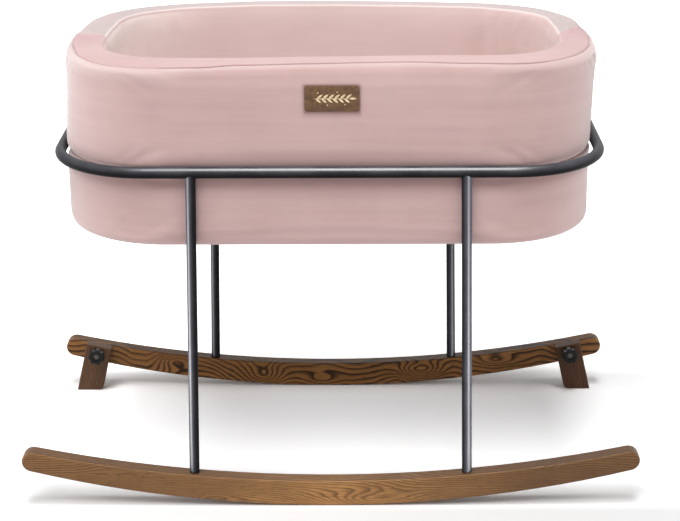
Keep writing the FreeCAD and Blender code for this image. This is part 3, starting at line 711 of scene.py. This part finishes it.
def wayRound(co, out):
    if abs(co.x) <= cornerX + 1e-6:
        part = tub["halfWay"] / 2 + co.x / mm
    else:
        corner = math.atan2(abs(out.y), abs(out.x))
        part = abs(co.y) / mm if abs(co.y) <= cornerY else tub["cornerY"] + tub["seamRadius"] * corner
        if co.x > 0:
            part = tub["halfWay"] - part
    return part if co.y < 0 else -part


def seamShift(inset):
    if inset < 10:
        angle = math.degrees(math.acos((tub["wallRadius"] - tub["rollPlace"][0] - inset) / tub["rollRadius"]))
        return -math.radians(tub["seamAngle"] - angle) * tub["rollRadius"]
    (centreR, _), radius, first, _ = rimSkin["arcs"][0]
    return math.acos((tub["wallRadius"] - inset - centreR) / radius) * radius - math.radians(first) * radius


rimShape = {
    # how far the ends draw in against height, and how the crest rises along the front and the back
    "leftEnd": [(560, 0), (588, 0), (598, 1.5), (620, 3), (657, 4.8), (677, 6.7), (700, 8), (714, 9.6), (735, 9)],
    "rightEnd": [(560, 4.5), (600, 4.5), (614, 4.3), (638, 3.4), (662, 3.1), (689, 3.4), (719, 3.8), (735, 3.6)],
    "front": [(-300, -2), (-150, -3), (0, -1.3), (150, 0), (300, 0)],
    "back": [(-360, -3), (-300, -2.4), (-220, 0.2), (-120, 2.6), (0, 2.6), (120, 1), (220, -1), (300, -3), (360, -3)],
    "crown": [(110, 0), (126, 2.6), (175, 2.6)],
    # how far the rim's outer side stands out, and its inner edge, against the way round the back half from the
    # middle of an end
    "plan": {-1: [(-130, 0), (-75, 3.4), (-30, 6), (15, 0.5), (60, -3.5), (110, -7), (175, -7.5), (260, -7),
                  (346, -4.5), (430, -1.5), (520, 0)],
             1: [(-130, 0), (-85, 2.5), (-40, 6), (5, 3.8), (50, -1.5), (105, -5), (165, -9), (250, -8),
                 (346, -4.5), (430, -1.5), (520, 0)]},
    "inner": {-1: [(-140, 0), (-70, -6), (0, -8), (55, -12), (107, -17), (171, -18), (230, -16), (294, -12),
                   (345, -6), (420, -1), (520, 0)],
              1: [(-140, 0), (-60, 4), (0, 4), (50, 1), (98, -4), (150, -9), (196, -13), (249, -12), (293, -9),
                  (340, -5), (400, -2), (520, 0)]},
}


def markVelvet(obj, **marks):
    for name, values in marks.items():
        layer = obj.data.attributes.get(name) or obj.data.attributes.new(name, "FLOAT", "POINT")
        old = [0.0] * len(obj.data.vertices)
        layer.data.foreach_get("value", old)
        layer.data.foreach_set("value", [min(1, before + values.get(index, 0)) for index, before in enumerate(old)])


def bell(distance, width):
    return math.exp(-(distance / width) ** 2)


def layRimSeam(obj, rear=0):
    look = rimSeam
    pale, deep, crown = {}, {}, {}
    for (vert, core, r, out, z), u in zip(spots(obj), readWay(obj)):
        if z < 640 or u > 75:
            continue
        place, normal = skinAt(u)
        off = (Vector((r, z)) - place).dot(normal) * (1 - 0.8 * bell(u - look["fold"], 7))
        way = wayRound(vert.co, out)
        corner = between(look["corners"], way)
        shift = seamShift(between(look["inset"], way))
        place, normal = skinAt(u + shift * bell(u, look["reach"]))
        edge = bell(u - look["fold"], 2)
        dip = look["groove"] * (1 - 0.5 * corner) * bell(u, look["grooveWidth"])
        dip -= look["roll"] * bell(abs(u) - 4.5, 3) + look["rearFold"] * edge * rear
        # a painted highlight along the rim's inner edge, stronger on the rear half, and painted shade in the seam's
        # groove
        pale[vert.index] = edge * (0.15 + 0.65 * rear)
        deep[vert.index] = 0.6 * (1 - 0.78 * corner) * bell(u, 1)
        # on the roll under the seam, painted highlights near the seam and painted shade further down
        if u < 0:
            pale[vert.index] = between(look["brushed"], way) * (0.2 * bell(u + 6.5, 5) + 0.26 * bell(u + 11, 13))
            pale[vert.index] += between(look["ridgeHighlight"], way) * bell(u + 4.5, 3.2)
            deep[vert.index] += 0.12 * (1 - corner) * bell(u + 15.5, 7)
        crown[vert.index] = between([(49, 1), (56, 0)], u)
        place += normal * (off - dip)
        vert.co = Vector((core.x + out.x * place.x * mm, core.y + out.y * place.x * mm, place.y * mm))
    markVelvet(obj, pale=pale, deep=deep, crown=crown)


def layCrossSeams(obj, front):
    look = rimSeam
    turn, lap = tub["liningWay"], look["lap" if front else "rearLap"]
    pale, deep, blush = {}, {}, {}
    for (vert, _, r, out, z), u in zip(spots(obj), readWay(obj)):
        if abs(vert.co.x) < 0.3:
            continue
        side = 1 if vert.co.x > 0 else -1
        q = vert.co.y / mm
        if abs(vert.co.y) > cornerY:
            q = math.copysign(tub["cornerY"] + turn * math.atan2(abs(out.y), abs(out.x)), q)
        away = abs(q - look["crossY"])
        q += between(look["left" if side < 0 else "right"], r) * bell(away, look["crossReach"])
        dip = 0
        if -1 < u < look["lowest"]:
            inward = bell(u - 55, 9)
            dip = look["crossGroove"] * bell(away, 1.6) - lap * bell(away - 5, 5)
            dip += look["pucker"] * inward * bell(away, 9)
            # painted shade in the groove and, on the front, along the fold beside it, and a painted highlight just
            # beside the groove
            deep[vert.index] = 0.6 * bell(away, 1.6) + 0.5 * inward * bell(away - 1, 6) * front
            pale[vert.index] = 0.3 * bell(away - 4, 2.5) * front
        if front and u < 60:
            blush[vert.index] = 0.75 * bell(away - 22, 45) * between([(20, 1), (60, 0.4)], u)
        arm = skinAt(min(u, look["lowest"]))[1]
        r, z = r - arm.x * dip, z - arm.y * dip
        plan = Vector((tub["cornerX"] + r, q))
        if abs(q) > tub["cornerY"]:
            angle = (abs(q) - tub["cornerY"]) / turn
            plan = Vector((tub["cornerX"] + r * math.cos(angle),
                           math.copysign(tub["cornerY"] + r * math.sin(angle), q)))
        vert.co = Vector((side * plan.x * mm, plan.y * mm, z * mm))
    markVelvet(obj, pale=pale, deep=deep, blush=blush)


def settle(obj):
    # the ends of the tub draw in towards the rim, and the crest isn't quite level
    for vert, _, r, out, z in spots(obj):
        side = -1 if vert.co.x < 0 else 1
        if r > 150 and abs(vert.co.x) > cornerX:
            pull = between(rimShape["leftEnd" if side < 0 else "rightEnd"], z)
            vert.co.x -= pull * out.x ** 2 * min(1, (r - 150) / 8) * mm * side
        if z > 580 and r > 100 and (vert.co.y > cornerY or abs(vert.co.x) > cornerX and vert.co.y > -0.14):
            way = vert.co.y / mm
            if abs(vert.co.x) < cornerX:
                way = tub["cornerY"] + tub["wallCorner"] + tub["cornerX"] - abs(vert.co.x) / mm
            elif vert.co.y > cornerY:
                way = tub["cornerY"] + tub["wallRadius"] * math.atan2(abs(out.y), abs(out.x))
            outer = min(1, max(0, (r - 112) / 36))
            push = between(rimShape["plan"][side], way) * outer * between([(650, 0), (705, 1)], z)
            push += between(rimShape["inner"][side], way) * (1 - outer) * between([(580, 0), (705, 1)], z)
            pushOut(vert, out, push)
        if z > 640:
            rise = between(rimShape["front" if vert.co.y < 0 else "back"], vert.co.x / mm)
            if vert.co.y > 0:
                rise += between(rimShape["crown"], r)
            vert.co.z += rise * out.y ** 2 * min(1, (z - 640) / 70) * mm


# upper outer cover with its foam

wallPad = {"start": 1.2, "pressure": 4, "cap": 4.0, "frames": 20, "quality": 4, "stiffness": 15, "ripple": 0.35,
           "pucker": 0.25, "eased": (572, 722), "ringShade": (0.08, 577, 9)}


def ease(obj, look):
    low, high = look["eased"]
    for vert, _, r, out, z in spots(obj):
        if not low < z < high:
            continue
        broad = noise.noise(vert.co * 9) + 0.5 * noise.noise(vert.co * 23)
        way = Vector((vert.co.x * 55, vert.co.y * 55, vert.co.z * 6))
        fine = noise.noise(way) * math.exp(-(high - z) / 22)
        push = (broad * look["ripple"] + fine * look["pucker"]) * min(1, (z - low) / 15) * min(1, (high - z) / 6)
        pushOut(vert, out, push)


tag = {"centre": (6, 679), "size": (83, 40), "thickness": 1.6, "corner": 4, "edge": 0.4, "cell": 5, "stand": 0.15}


# a painted shadow below and beside the tag
def tagShade(obj):
    shade = {}
    for vert in obj.data.vertices:
        aside = max(0, abs(vert.co.x / mm - tag["centre"][0]) - tag["size"][0] / 2)
        rise = vert.co.z / mm - tag["centre"][1]
        if vert.co.y < -0.2 and aside < 12:
            shade[vert.index] = 0.6 * bell(aside, 3) * bell(min(0, rise + tag["size"][1] / 2), 6)
            shade[vert.index] *= bell(max(0, rise - tag["size"][1] / 2), 2)
    return shade


# a painted sheen towards both ends
def endSheen(obj):
    nap = [(-425, 0.27), (-300, 0), (320, 0), (425, 0.3)]
    return {vert.index: between(nap, vert.co.x / mm) for vert in obj.data.vertices}


# a painted shade in a level band round the pad
def bandShade(obj, strength, middle, width):
    return {vert.index: strength * bell(vert.co.z / mm - middle, width) for vert in obj.data.vertices}


def makeWallPad():
    pad = wholeRing("upperWallPad", wallSection(), tub["step"])
    keepWay(pad)
    drawIn(pad, wallPad, lambda r, z: hump(z, 566, 722) if r > 160 and z > 566 else 0)
    hold(pad, lambda co, r, z: r < 163.5 and z < 721 or z < 569 or z > 724)
    swell(pad, wallPad)
    refine(pad)
    ease(pad, wallPad)
    layRimSeam(pad)
    settle(pad)
    # painted shadows below and beside the tag and in a band just above the ring, and a painted sheen at the ends
    markVelvet(pad, deep=tagShade(pad))
    markVelvet(pad, deep=bandShade(pad, *wallPad["ringShade"]), pale=endSheen(pad))
    dress(pad, "pinkVelvet")
    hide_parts("upper_outer_cover", "upper_outer_foam")
    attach(pad, "tub")
    return pad


wall = makeWallPad()

# lower outer cover with its foam, and the cloth turned in under it

drumPad = {"step": 7, "start": 0.8, "pressure": 3, "cap": 3.0, "frames": 16, "quality": 4, "stiffness": 15,
           "ripple": 0.3, "pucker": 0, "eased": (442, 556), "ringShade": (0.44, 544, 12),
           "left": [(436, 3), (470, 5), (545, 5), (555, 0)]}


def makeDrumPad():
    pad = wholeRing("lowerDrumPad", drumSection(), drumPad["step"])
    drawIn(pad, drumPad, lambda r, z: hump(z, 560, 438) if r > 150 and z < 560 else 0)
    hold(pad, lambda co, r, z: r < 154 or z > 555)
    swell(pad, drumPad)
    refine(pad)
    ease(pad, drumPad)
    # a painted shadow of the ring in a band just under it, and a painted sheen at the ends
    markVelvet(pad, deep=bandShade(pad, *drumPad["ringShade"]), pale=endSheen(pad))
    # the foam stands out a little more at the left
    for vert, _, r, out, z in spots(pad):
        if vert.co.x < -cornerX and r > 150:
            vert.co.x -= between(drumPad["left"], z) * out.x ** 2 * mm
    dress(pad, "pinkVelvet")
    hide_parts("lower_outer_cover", "lower_outer_foam")
    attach(pad, "tub")


makeDrumPad()

# rim and inner lining, in a front and a rear half

liningPads = {"start": 1.0, "pressure": 4, "cap": 3.5, "frames": 16, "quality": 4, "stiffness": 15,
              "leftSheen": [(-340, 0.95), (-190, 0)], "rightShade": [(200, 0), (340, 0.12)]}


def insideMark(pad, knots, side):
    return {vert.index: between(knots, vert.co.x / mm) for vert, u in zip(pad.data.vertices, readWay(pad))
            if 57 < u < rimSeam["lowest"] and side * vert.co.x > 0.2}


def makeLiningPad(name, face, finish, replaced):
    pad = halfRing(name, liningSection(), face)
    keepWay(pad)
    drawIn(pad, liningPads, lambda r, z: -hump(z, 452, 742) if r < 112 and z < 715 else 0)
    for vert in pad.data.vertices:
        over = vert.co.z / mm - 727
        if over > 0:
            vert.co.z -= liningPads["start"] * min(1, over / 6) * mm
    ends = rimSeam["crossY"] * mm + face * 0.003
    hold(pad, lambda co, r, z: r > 158 or z < 722 and r > 112 or z < 460
         or abs(co.x) > 0.3 and (co.y - ends) * face < 0)
    swell(pad, liningPads)
    refine(pad)
    layRimSeam(pad, int(face > 0))
    layCrossSeams(pad, face < 0)
    settle(pad)
    # a painted sheen on the inner wall towards the left end and a painted shade towards the right end
    markVelvet(pad, pale=insideMark(pad, liningPads["leftSheen"], -1),
               deep=insideMark(pad, liningPads["rightShade"], 1))
    dress(pad, finish)
    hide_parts(*replaced)
    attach(pad, "tub")


makeLiningPad("frontLiningPad", -1, "rosyVelvet", ["front_lining", "rim_foam", "inner_side_foam"])
makeLiningPad("rearLiningPad", 1, "paleVelvet", ["rear_lining"])
print("tub's covers and lining are made")

# mattress

mattress = {"size": (720, 366, 50), "radius": 105, "edge": 15, "bottom": 452.2, "voxel": 6, "start": 4,
            "pressure": 4, "cap": 5, "frames": 16, "quality": 4, "stiffness": 10}


def roundedBlock(size, middle, axis, corner, cornerSteps, edge, edgeSteps):
    # a block whose four edges along the axis are rounded by corner, and then its two rims by edge
    bm = bmesh.new()
    bmesh.ops.create_cube(bm, size=1)
    bmesh.ops.scale(bm, vec=size, verts=bm.verts)
    bmesh.ops.translate(bm, vec=middle, verts=bm.verts)

    def bevel(edges, offset, steps):
        bmesh.ops.bevel(bm, geom=edges, offset=offset * mm, segments=steps, profile=0.5, affect="EDGES", material=-1)

    bevel([item for item in bm.edges if abs(item.verts[0].co[axis] - item.verts[1].co[axis]) > 0.001],
          corner, cornerSteps)
    flat = {face for face in bm.faces if abs(face.normal[axis]) > 0.9}
    bevel([item for item in bm.edges if len(set(item.link_faces) & flat) == 1], edge, edgeSteps)
    return bm


def makeMattress():
    look = mattress
    length, width, height = [value * mm for value in look["size"]]
    height -= look["start"] * mm
    bm = roundedBlock((length, width, height), (0, 0, look["bottom"] * mm + height / 2), 2, look["radius"], 20,
                      look["edge"], 5)
    pad = finishMesh(bm, "mattressPad")
    applied(pad, "REMESH", mode="VOXEL", voxel_size=look["voxel"] * mm)
    hold(pad, lambda co, r, z: z < look["bottom"] + 2)
    swell(pad, look)
    refine(pad)
    for vert in pad.data.vertices:
        z = vert.co.z / mm
        dents = noise.noise(vert.co * 8) * 1.2 + noise.noise(vert.co * 21) * 0.4
        if z > 480:
            vert.co.z += dents * mm * min(1, (z - 480) / 15)
    dress(pad, "mattressCloth")
    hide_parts("mattress_cover", "mattress_core")
    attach(pad, "mattress")


makeMattress()

# dust cloth under the tub

dustSheet = {"radius": 127.5, "sag": 0.24, "crease": 0.06, "cell": 18, "thickness": 0.001}


def cutAcross(bm, halves, cell):
    for axis, half in halves:
        count = round(2 * half / cell)
        for index in range(1, count):
            spot, normal = Vector(), Vector()
            spot[axis] = -half + 2 * half * index / count
            normal[axis] = 1
            bmesh.ops.bisect_plane(bm, geom=bm.verts[:] + bm.edges[:] + bm.faces[:], plane_co=spot, plane_no=normal)


def makeDustCloth():
    halfX, halfY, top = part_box("dust_cover")[1]
    bm = bmesh.new()
    bmesh.ops.create_grid(bm, x_segments=1, y_segments=1, size=1)
    bmesh.ops.scale(bm, vec=(halfX, halfY, 1), verts=bm.verts)
    bmesh.ops.bevel(bm, geom=bm.verts[:], offset=dustSheet["radius"] * mm, segments=14, profile=0.5,
                    affect="VERTICES", material=-1)
    cutAcross(bm, ((0, halfX), (1, halfY)), dustSheet["cell"] * mm)
    for vert in bm.verts:
        inner = max(0, 1 - (vert.co.x / halfX) ** 2) * max(0, 1 - (vert.co.y / halfY) ** 2)
        crease = dustSheet["crease"] * noise.noise(vert.co * 20)
        vert.co.z = top - 0.0012 - inner * (dustSheet["sag"] + crease) * mm
    cloth = finishMesh(bm, "dustCloth")
    applied(cloth, "SOLIDIFY", thickness=dustSheet["thickness"], offset=0)
    dress(cloth, "dustCloth")
    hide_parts("dust_cover")
    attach(cloth, "tub")


makeDustCloth()

# leather tag on the front, with a generic leaf print


def layOnWall(bm, depth):
    surface = bmesh.new()
    surface.from_mesh(wall.data)
    tree = BVHTree.FromBMesh(surface)
    surface.free()
    for vert in bm.verts:
        hit = tree.ray_cast(Vector((vert.co.x, -0.4, vert.co.z)), Vector((0, 1, 0)))[0]
        vert.co.y = hit.y - (depth + vert.co.y / mm) * mm


def makeTag():
    wide, high = [value * mm for value in tag["size"]]
    bm = roundedBlock((wide, tag["thickness"] * mm, high), (0, 0, 0), 1, tag["corner"], 6, tag["edge"], 2)
    cutAcross(bm, ((0, wide / 2), (2, high / 2)), tag["cell"] * mm)
    bmesh.ops.translate(bm, vec=(tag["centre"][0] * mm, 0, tag["centre"][1] * mm), verts=bm.verts)
    layOnWall(bm, tag["stand"] + tag["thickness"] / 2)
    piece = finishMesh(bm, "leatherTag")
    dress(piece, "brownLeather")
    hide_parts("leather_patch")
    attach(piece, "tub")


leafPrint = {"thickness": 0.12, "stem": 29, "stemWidth": 0.55, "leaf": (4.6, 1.7), "pairs": 6, "turn": 38, "dot": 1.0}


def addLeaf(bm, x, z, turn, length, width):
    made = bmesh.ops.create_circle(bm, cap_ends=True, segments=16, radius=1)["verts"]
    tip = max(made, key=lambda vert: vert.co.x)
    bmesh.ops.scale(bm, vec=(length * mm, width * mm, 1), verts=made)
    tip.co.x += length * 0.3 * mm
    spin = Matrix.Rotation(math.radians(turn), 4, "Z") @ Matrix.Translation((length * mm, 0, 0))
    bmesh.ops.transform(bm, matrix=Matrix.Translation((x * mm, z * mm, 0)) @ spin, verts=made)


def makePrintOnTag():
    look = leafPrint
    bm = bmesh.new()
    addLeaf(bm, -look["stem"], 0, 0, look["stem"], look["stemWidth"])
    for index in range(look["pairs"]):
        x = look["stem"] * (-0.8 + 1.5 * index / (look["pairs"] - 1))
        for up in (-1, 1):
            addLeaf(bm, x + up * 1.2, up * 0.3, up * look["turn"], *look["leaf"])
    addLeaf(bm, look["stem"] - 2, 0, 0, *look["leaf"])
    for x, z in ((-21, 9), (-7, -10), (8, 10), (20, -9)):
        dot = bmesh.ops.create_circle(bm, cap_ends=True, segments=14, radius=look["dot"] * mm)["verts"]
        bmesh.ops.translate(bm, vec=(x * mm, z * mm, 0), verts=dot)
    raisedFaces = bmesh.ops.extrude_face_region(bm, geom=bm.faces[:])["geom"]
    lifted = [item for item in raisedFaces if isinstance(item, bmesh.types.BMVert)]
    bmesh.ops.translate(bm, vec=(0, 0, look["thickness"] * mm), verts=lifted)
    for vert in bm.verts:
        vert.co = Vector((vert.co.x + tag["centre"][0] * mm, vert.co.z, vert.co.y + tag["centre"][1] * mm))
    layOnWall(bm, tag["stand"] + tag["thickness"] - 0.03)
    piece = finishMesh(bm, "leafPrint")
    dress(piece, "creamPrint")
    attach(piece, "tub")


makeTag()
makePrintOnTag()
print("mattress, dust cloth and tag are made")

# floor, world and lamps

# the camera sees the floor in the tones seen, near and under, the first two from left to right; the pairs of metres
# say where the floor under the tub, behind it and in front of it passes from one tone to the other
studio = {"floor": 14, "fill": 0.23, "grey": 0.85, "seen": (0.95, 0.99), "near": (0.84, 0.74), "under": 1.52,
          "across": (0.28, 0.66), "middle": 0.06, "along": (0.14, 0.25), "behind": (0.275, 0.34),
          "before": (-0.285, -0.25), "forward": (-0.8, -0.4), "aside": (0.5, 1.0)}


def makeFloor():
    bm = bmesh.new()
    bmesh.ops.create_circle(bm, cap_ends=True, segments=96, radius=studio["floor"])
    floor = finishMesh(bm, "studioFloor")
    floor.location.z = -0.0003
    material, tree, shader, place = newMaterial("paleFloor", Roughness=1.0, Specular_IOR_Level=0.0)
    grey, bareLeft, bareRight, nearLeft, nearRight, lift = [
        (value, value, value, 1) for value in (studio["grey"], *studio["seen"], *studio["near"], studio["under"])]
    seen = tree.nodes.new("ShaderNodeLightPath").outputs["Is Camera Ray"]
    parts = put(tree, "ShaderNodeSeparateXYZ", {0: place}).outputs
    # the floor is whiter under the tub, so that its broad shade stays faint and the rockers' shadows show
    aside = calc(tree, "ABSOLUTE", parts[0])
    along = calc(tree, "ABSOLUTE", calc(tree, "SUBTRACT", parts[1], studio["middle"]))
    under = calc(tree, "MULTIPLY", ramp(tree, aside, *studio["across"], 1, 0),
                 ramp(tree, along, *studio["along"], 1, 0))
    # in front of the front rocker the floor is darker, a painted shade that deepens the rocker's shadow, most at the
    # right; elsewhere it is whiter to the right, against the tub's shade that falls that way
    rightward = ramp(tree, parts[0], -0.5, 0.5)
    near = mixed(tree, rightward, nearLeft, nearRight)
    closeBy = calc(tree, "MULTIPLY", ramp(tree, parts[1], *studio["before"], 1, 0),
                   ramp(tree, parts[1], *studio["forward"]))
    closeBy = calc(tree, "MULTIPLY", closeBy, ramp(tree, aside, *studio["aside"], 1, 0))
    bare = mixed(tree, closeBy, mixed(tree, rightward, bareLeft, bareRight), near)
    # and it is whiter behind the tub, a painted light that hides the tub's shade there
    bare = mixed(tree, ramp(tree, parts[1], *studio["behind"]), bare, lift)
    colour = mixed(tree, seen, grey, mixed(tree, under, bare, lift))
    tree.links.new(colour, shader.inputs["Base Color"])
    floor.data.materials.append(material)


def makeWorld():
    world = bpy.data.worlds.new("paleStudio")
    world.use_nodes = True
    tree = world.node_tree
    rays = tree.nodes.new("ShaderNodeLightPath").outputs
    seen = calc(tree, "MAXIMUM", calc(tree, "MAXIMUM", rays["Is Camera Ray"], rays["Is Glossy Ray"]),
                rays["Is Transmission Ray"])
    background = tree.nodes["Background"]
    background.inputs["Color"].default_value = (1, 1, 1, 1)
    tree.links.new(ramp(tree, seen, 0, 1, studio["fill"], 1), background.inputs["Strength"])
    scene.world = world


suns = {
    "overheadSun": {"from": (-0.03, -0.13, 1), "share": 0.38, "angle": 15},
    "frontSun": {"from": (-0.25, -0.58, 1.1), "share": 0.44, "angle": 28},
    "leftSun": {"from": (-1, -0.3, 0.4), "share": 0.4, "angle": 60},
    "rightSun": {"from": (1, -0.3, 0.4), "share": 0.32, "angle": 60},
}

# boards that only the black steel mirrors: one over the ring, and a row on the floor for each leg, from its foot
# outwards, each board as (start, end, width) in metres and a share of the leg's glow
boards = {
    "ring": {"place": (0.08, -0.8, 2.2), "size": (1.05, 1.6), "glow": 440},
    "rows": [(0.1, 0.42, 0.17, 0.55), (0.42, 0.95, 0.34, 0.85), (0.95, 1.8, 0.66, 0.9)],
    "legs": {
        "front_left_leg": {"foot": (-0.221, -0.248), "turn": 204, "glow": 480},
        "front_right_leg": {"foot": (0.221, -0.248), "turn": -50, "glow": 500},
        "rear_left_leg": {"foot": (-0.221, 0.248), "turn": 204, "glow": 190},
        "rear_right_leg": {"foot": (0.221, 0.248), "turn": -50, "glow": 210},
    },
}


def placeLamp(name, lamp, place, way, turn):
    obj = bpy.data.objects.new(name, lamp)
    scene.collection.objects.link(obj)
    spin = Matrix.Rotation(math.radians(turn), 4, "Z")
    obj.matrix_world = Matrix.Translation(place) @ spin @ Vector(way).to_track_quat("-Z", "Y").to_matrix().to_4x4()
    obj.visible_camera = False
    return obj


def makeSun(name):
    look = suns[name]
    lamp = bpy.data.lights.new(name, "SUN")
    lamp.energy = look["share"] * math.pi
    lamp.angle = math.radians(look["angle"])
    placeLamp(name, lamp, look["from"], -Vector(look["from"]), 0)


def makeBoard(name, piece, place, down, turn, size, glow):
    lamp = bpy.data.lights.new(name, "AREA")
    lamp.shape = "RECTANGLE"
    lamp.size, lamp.size_y = size
    lamp.energy = glow * size[0] * size[1]
    obj = placeLamp(name, lamp, place, (0, 0, -1 if down else 1), turn)
    lit = bpy.data.collections.new(name)
    lit.objects.link(nodes[piece])
    obj.light_linking.receiver_collection = lit


def makeBoards():
    ring = boards["ring"]
    makeBoard("ringBoard", "ring_tube", ring["place"], True, 0, ring["size"], ring["glow"])
    for piece, look in boards["legs"].items():
        way = math.radians(look["turn"])
        for number, (start, end, width, share) in enumerate(boards["rows"]):
            middle = (start + end) / 2
            place = (look["foot"][0] + middle * math.cos(way), look["foot"][1] + middle * math.sin(way), 0.01)
            makeBoard(piece + "Board" + str(number), piece, place, False, look["turn"], (end - start, width),
                      look["glow"] * share)


makeFloor()
makeWorld()
for name in suns:
    makeSun(name)
makeBoards()
print("studio is lit")
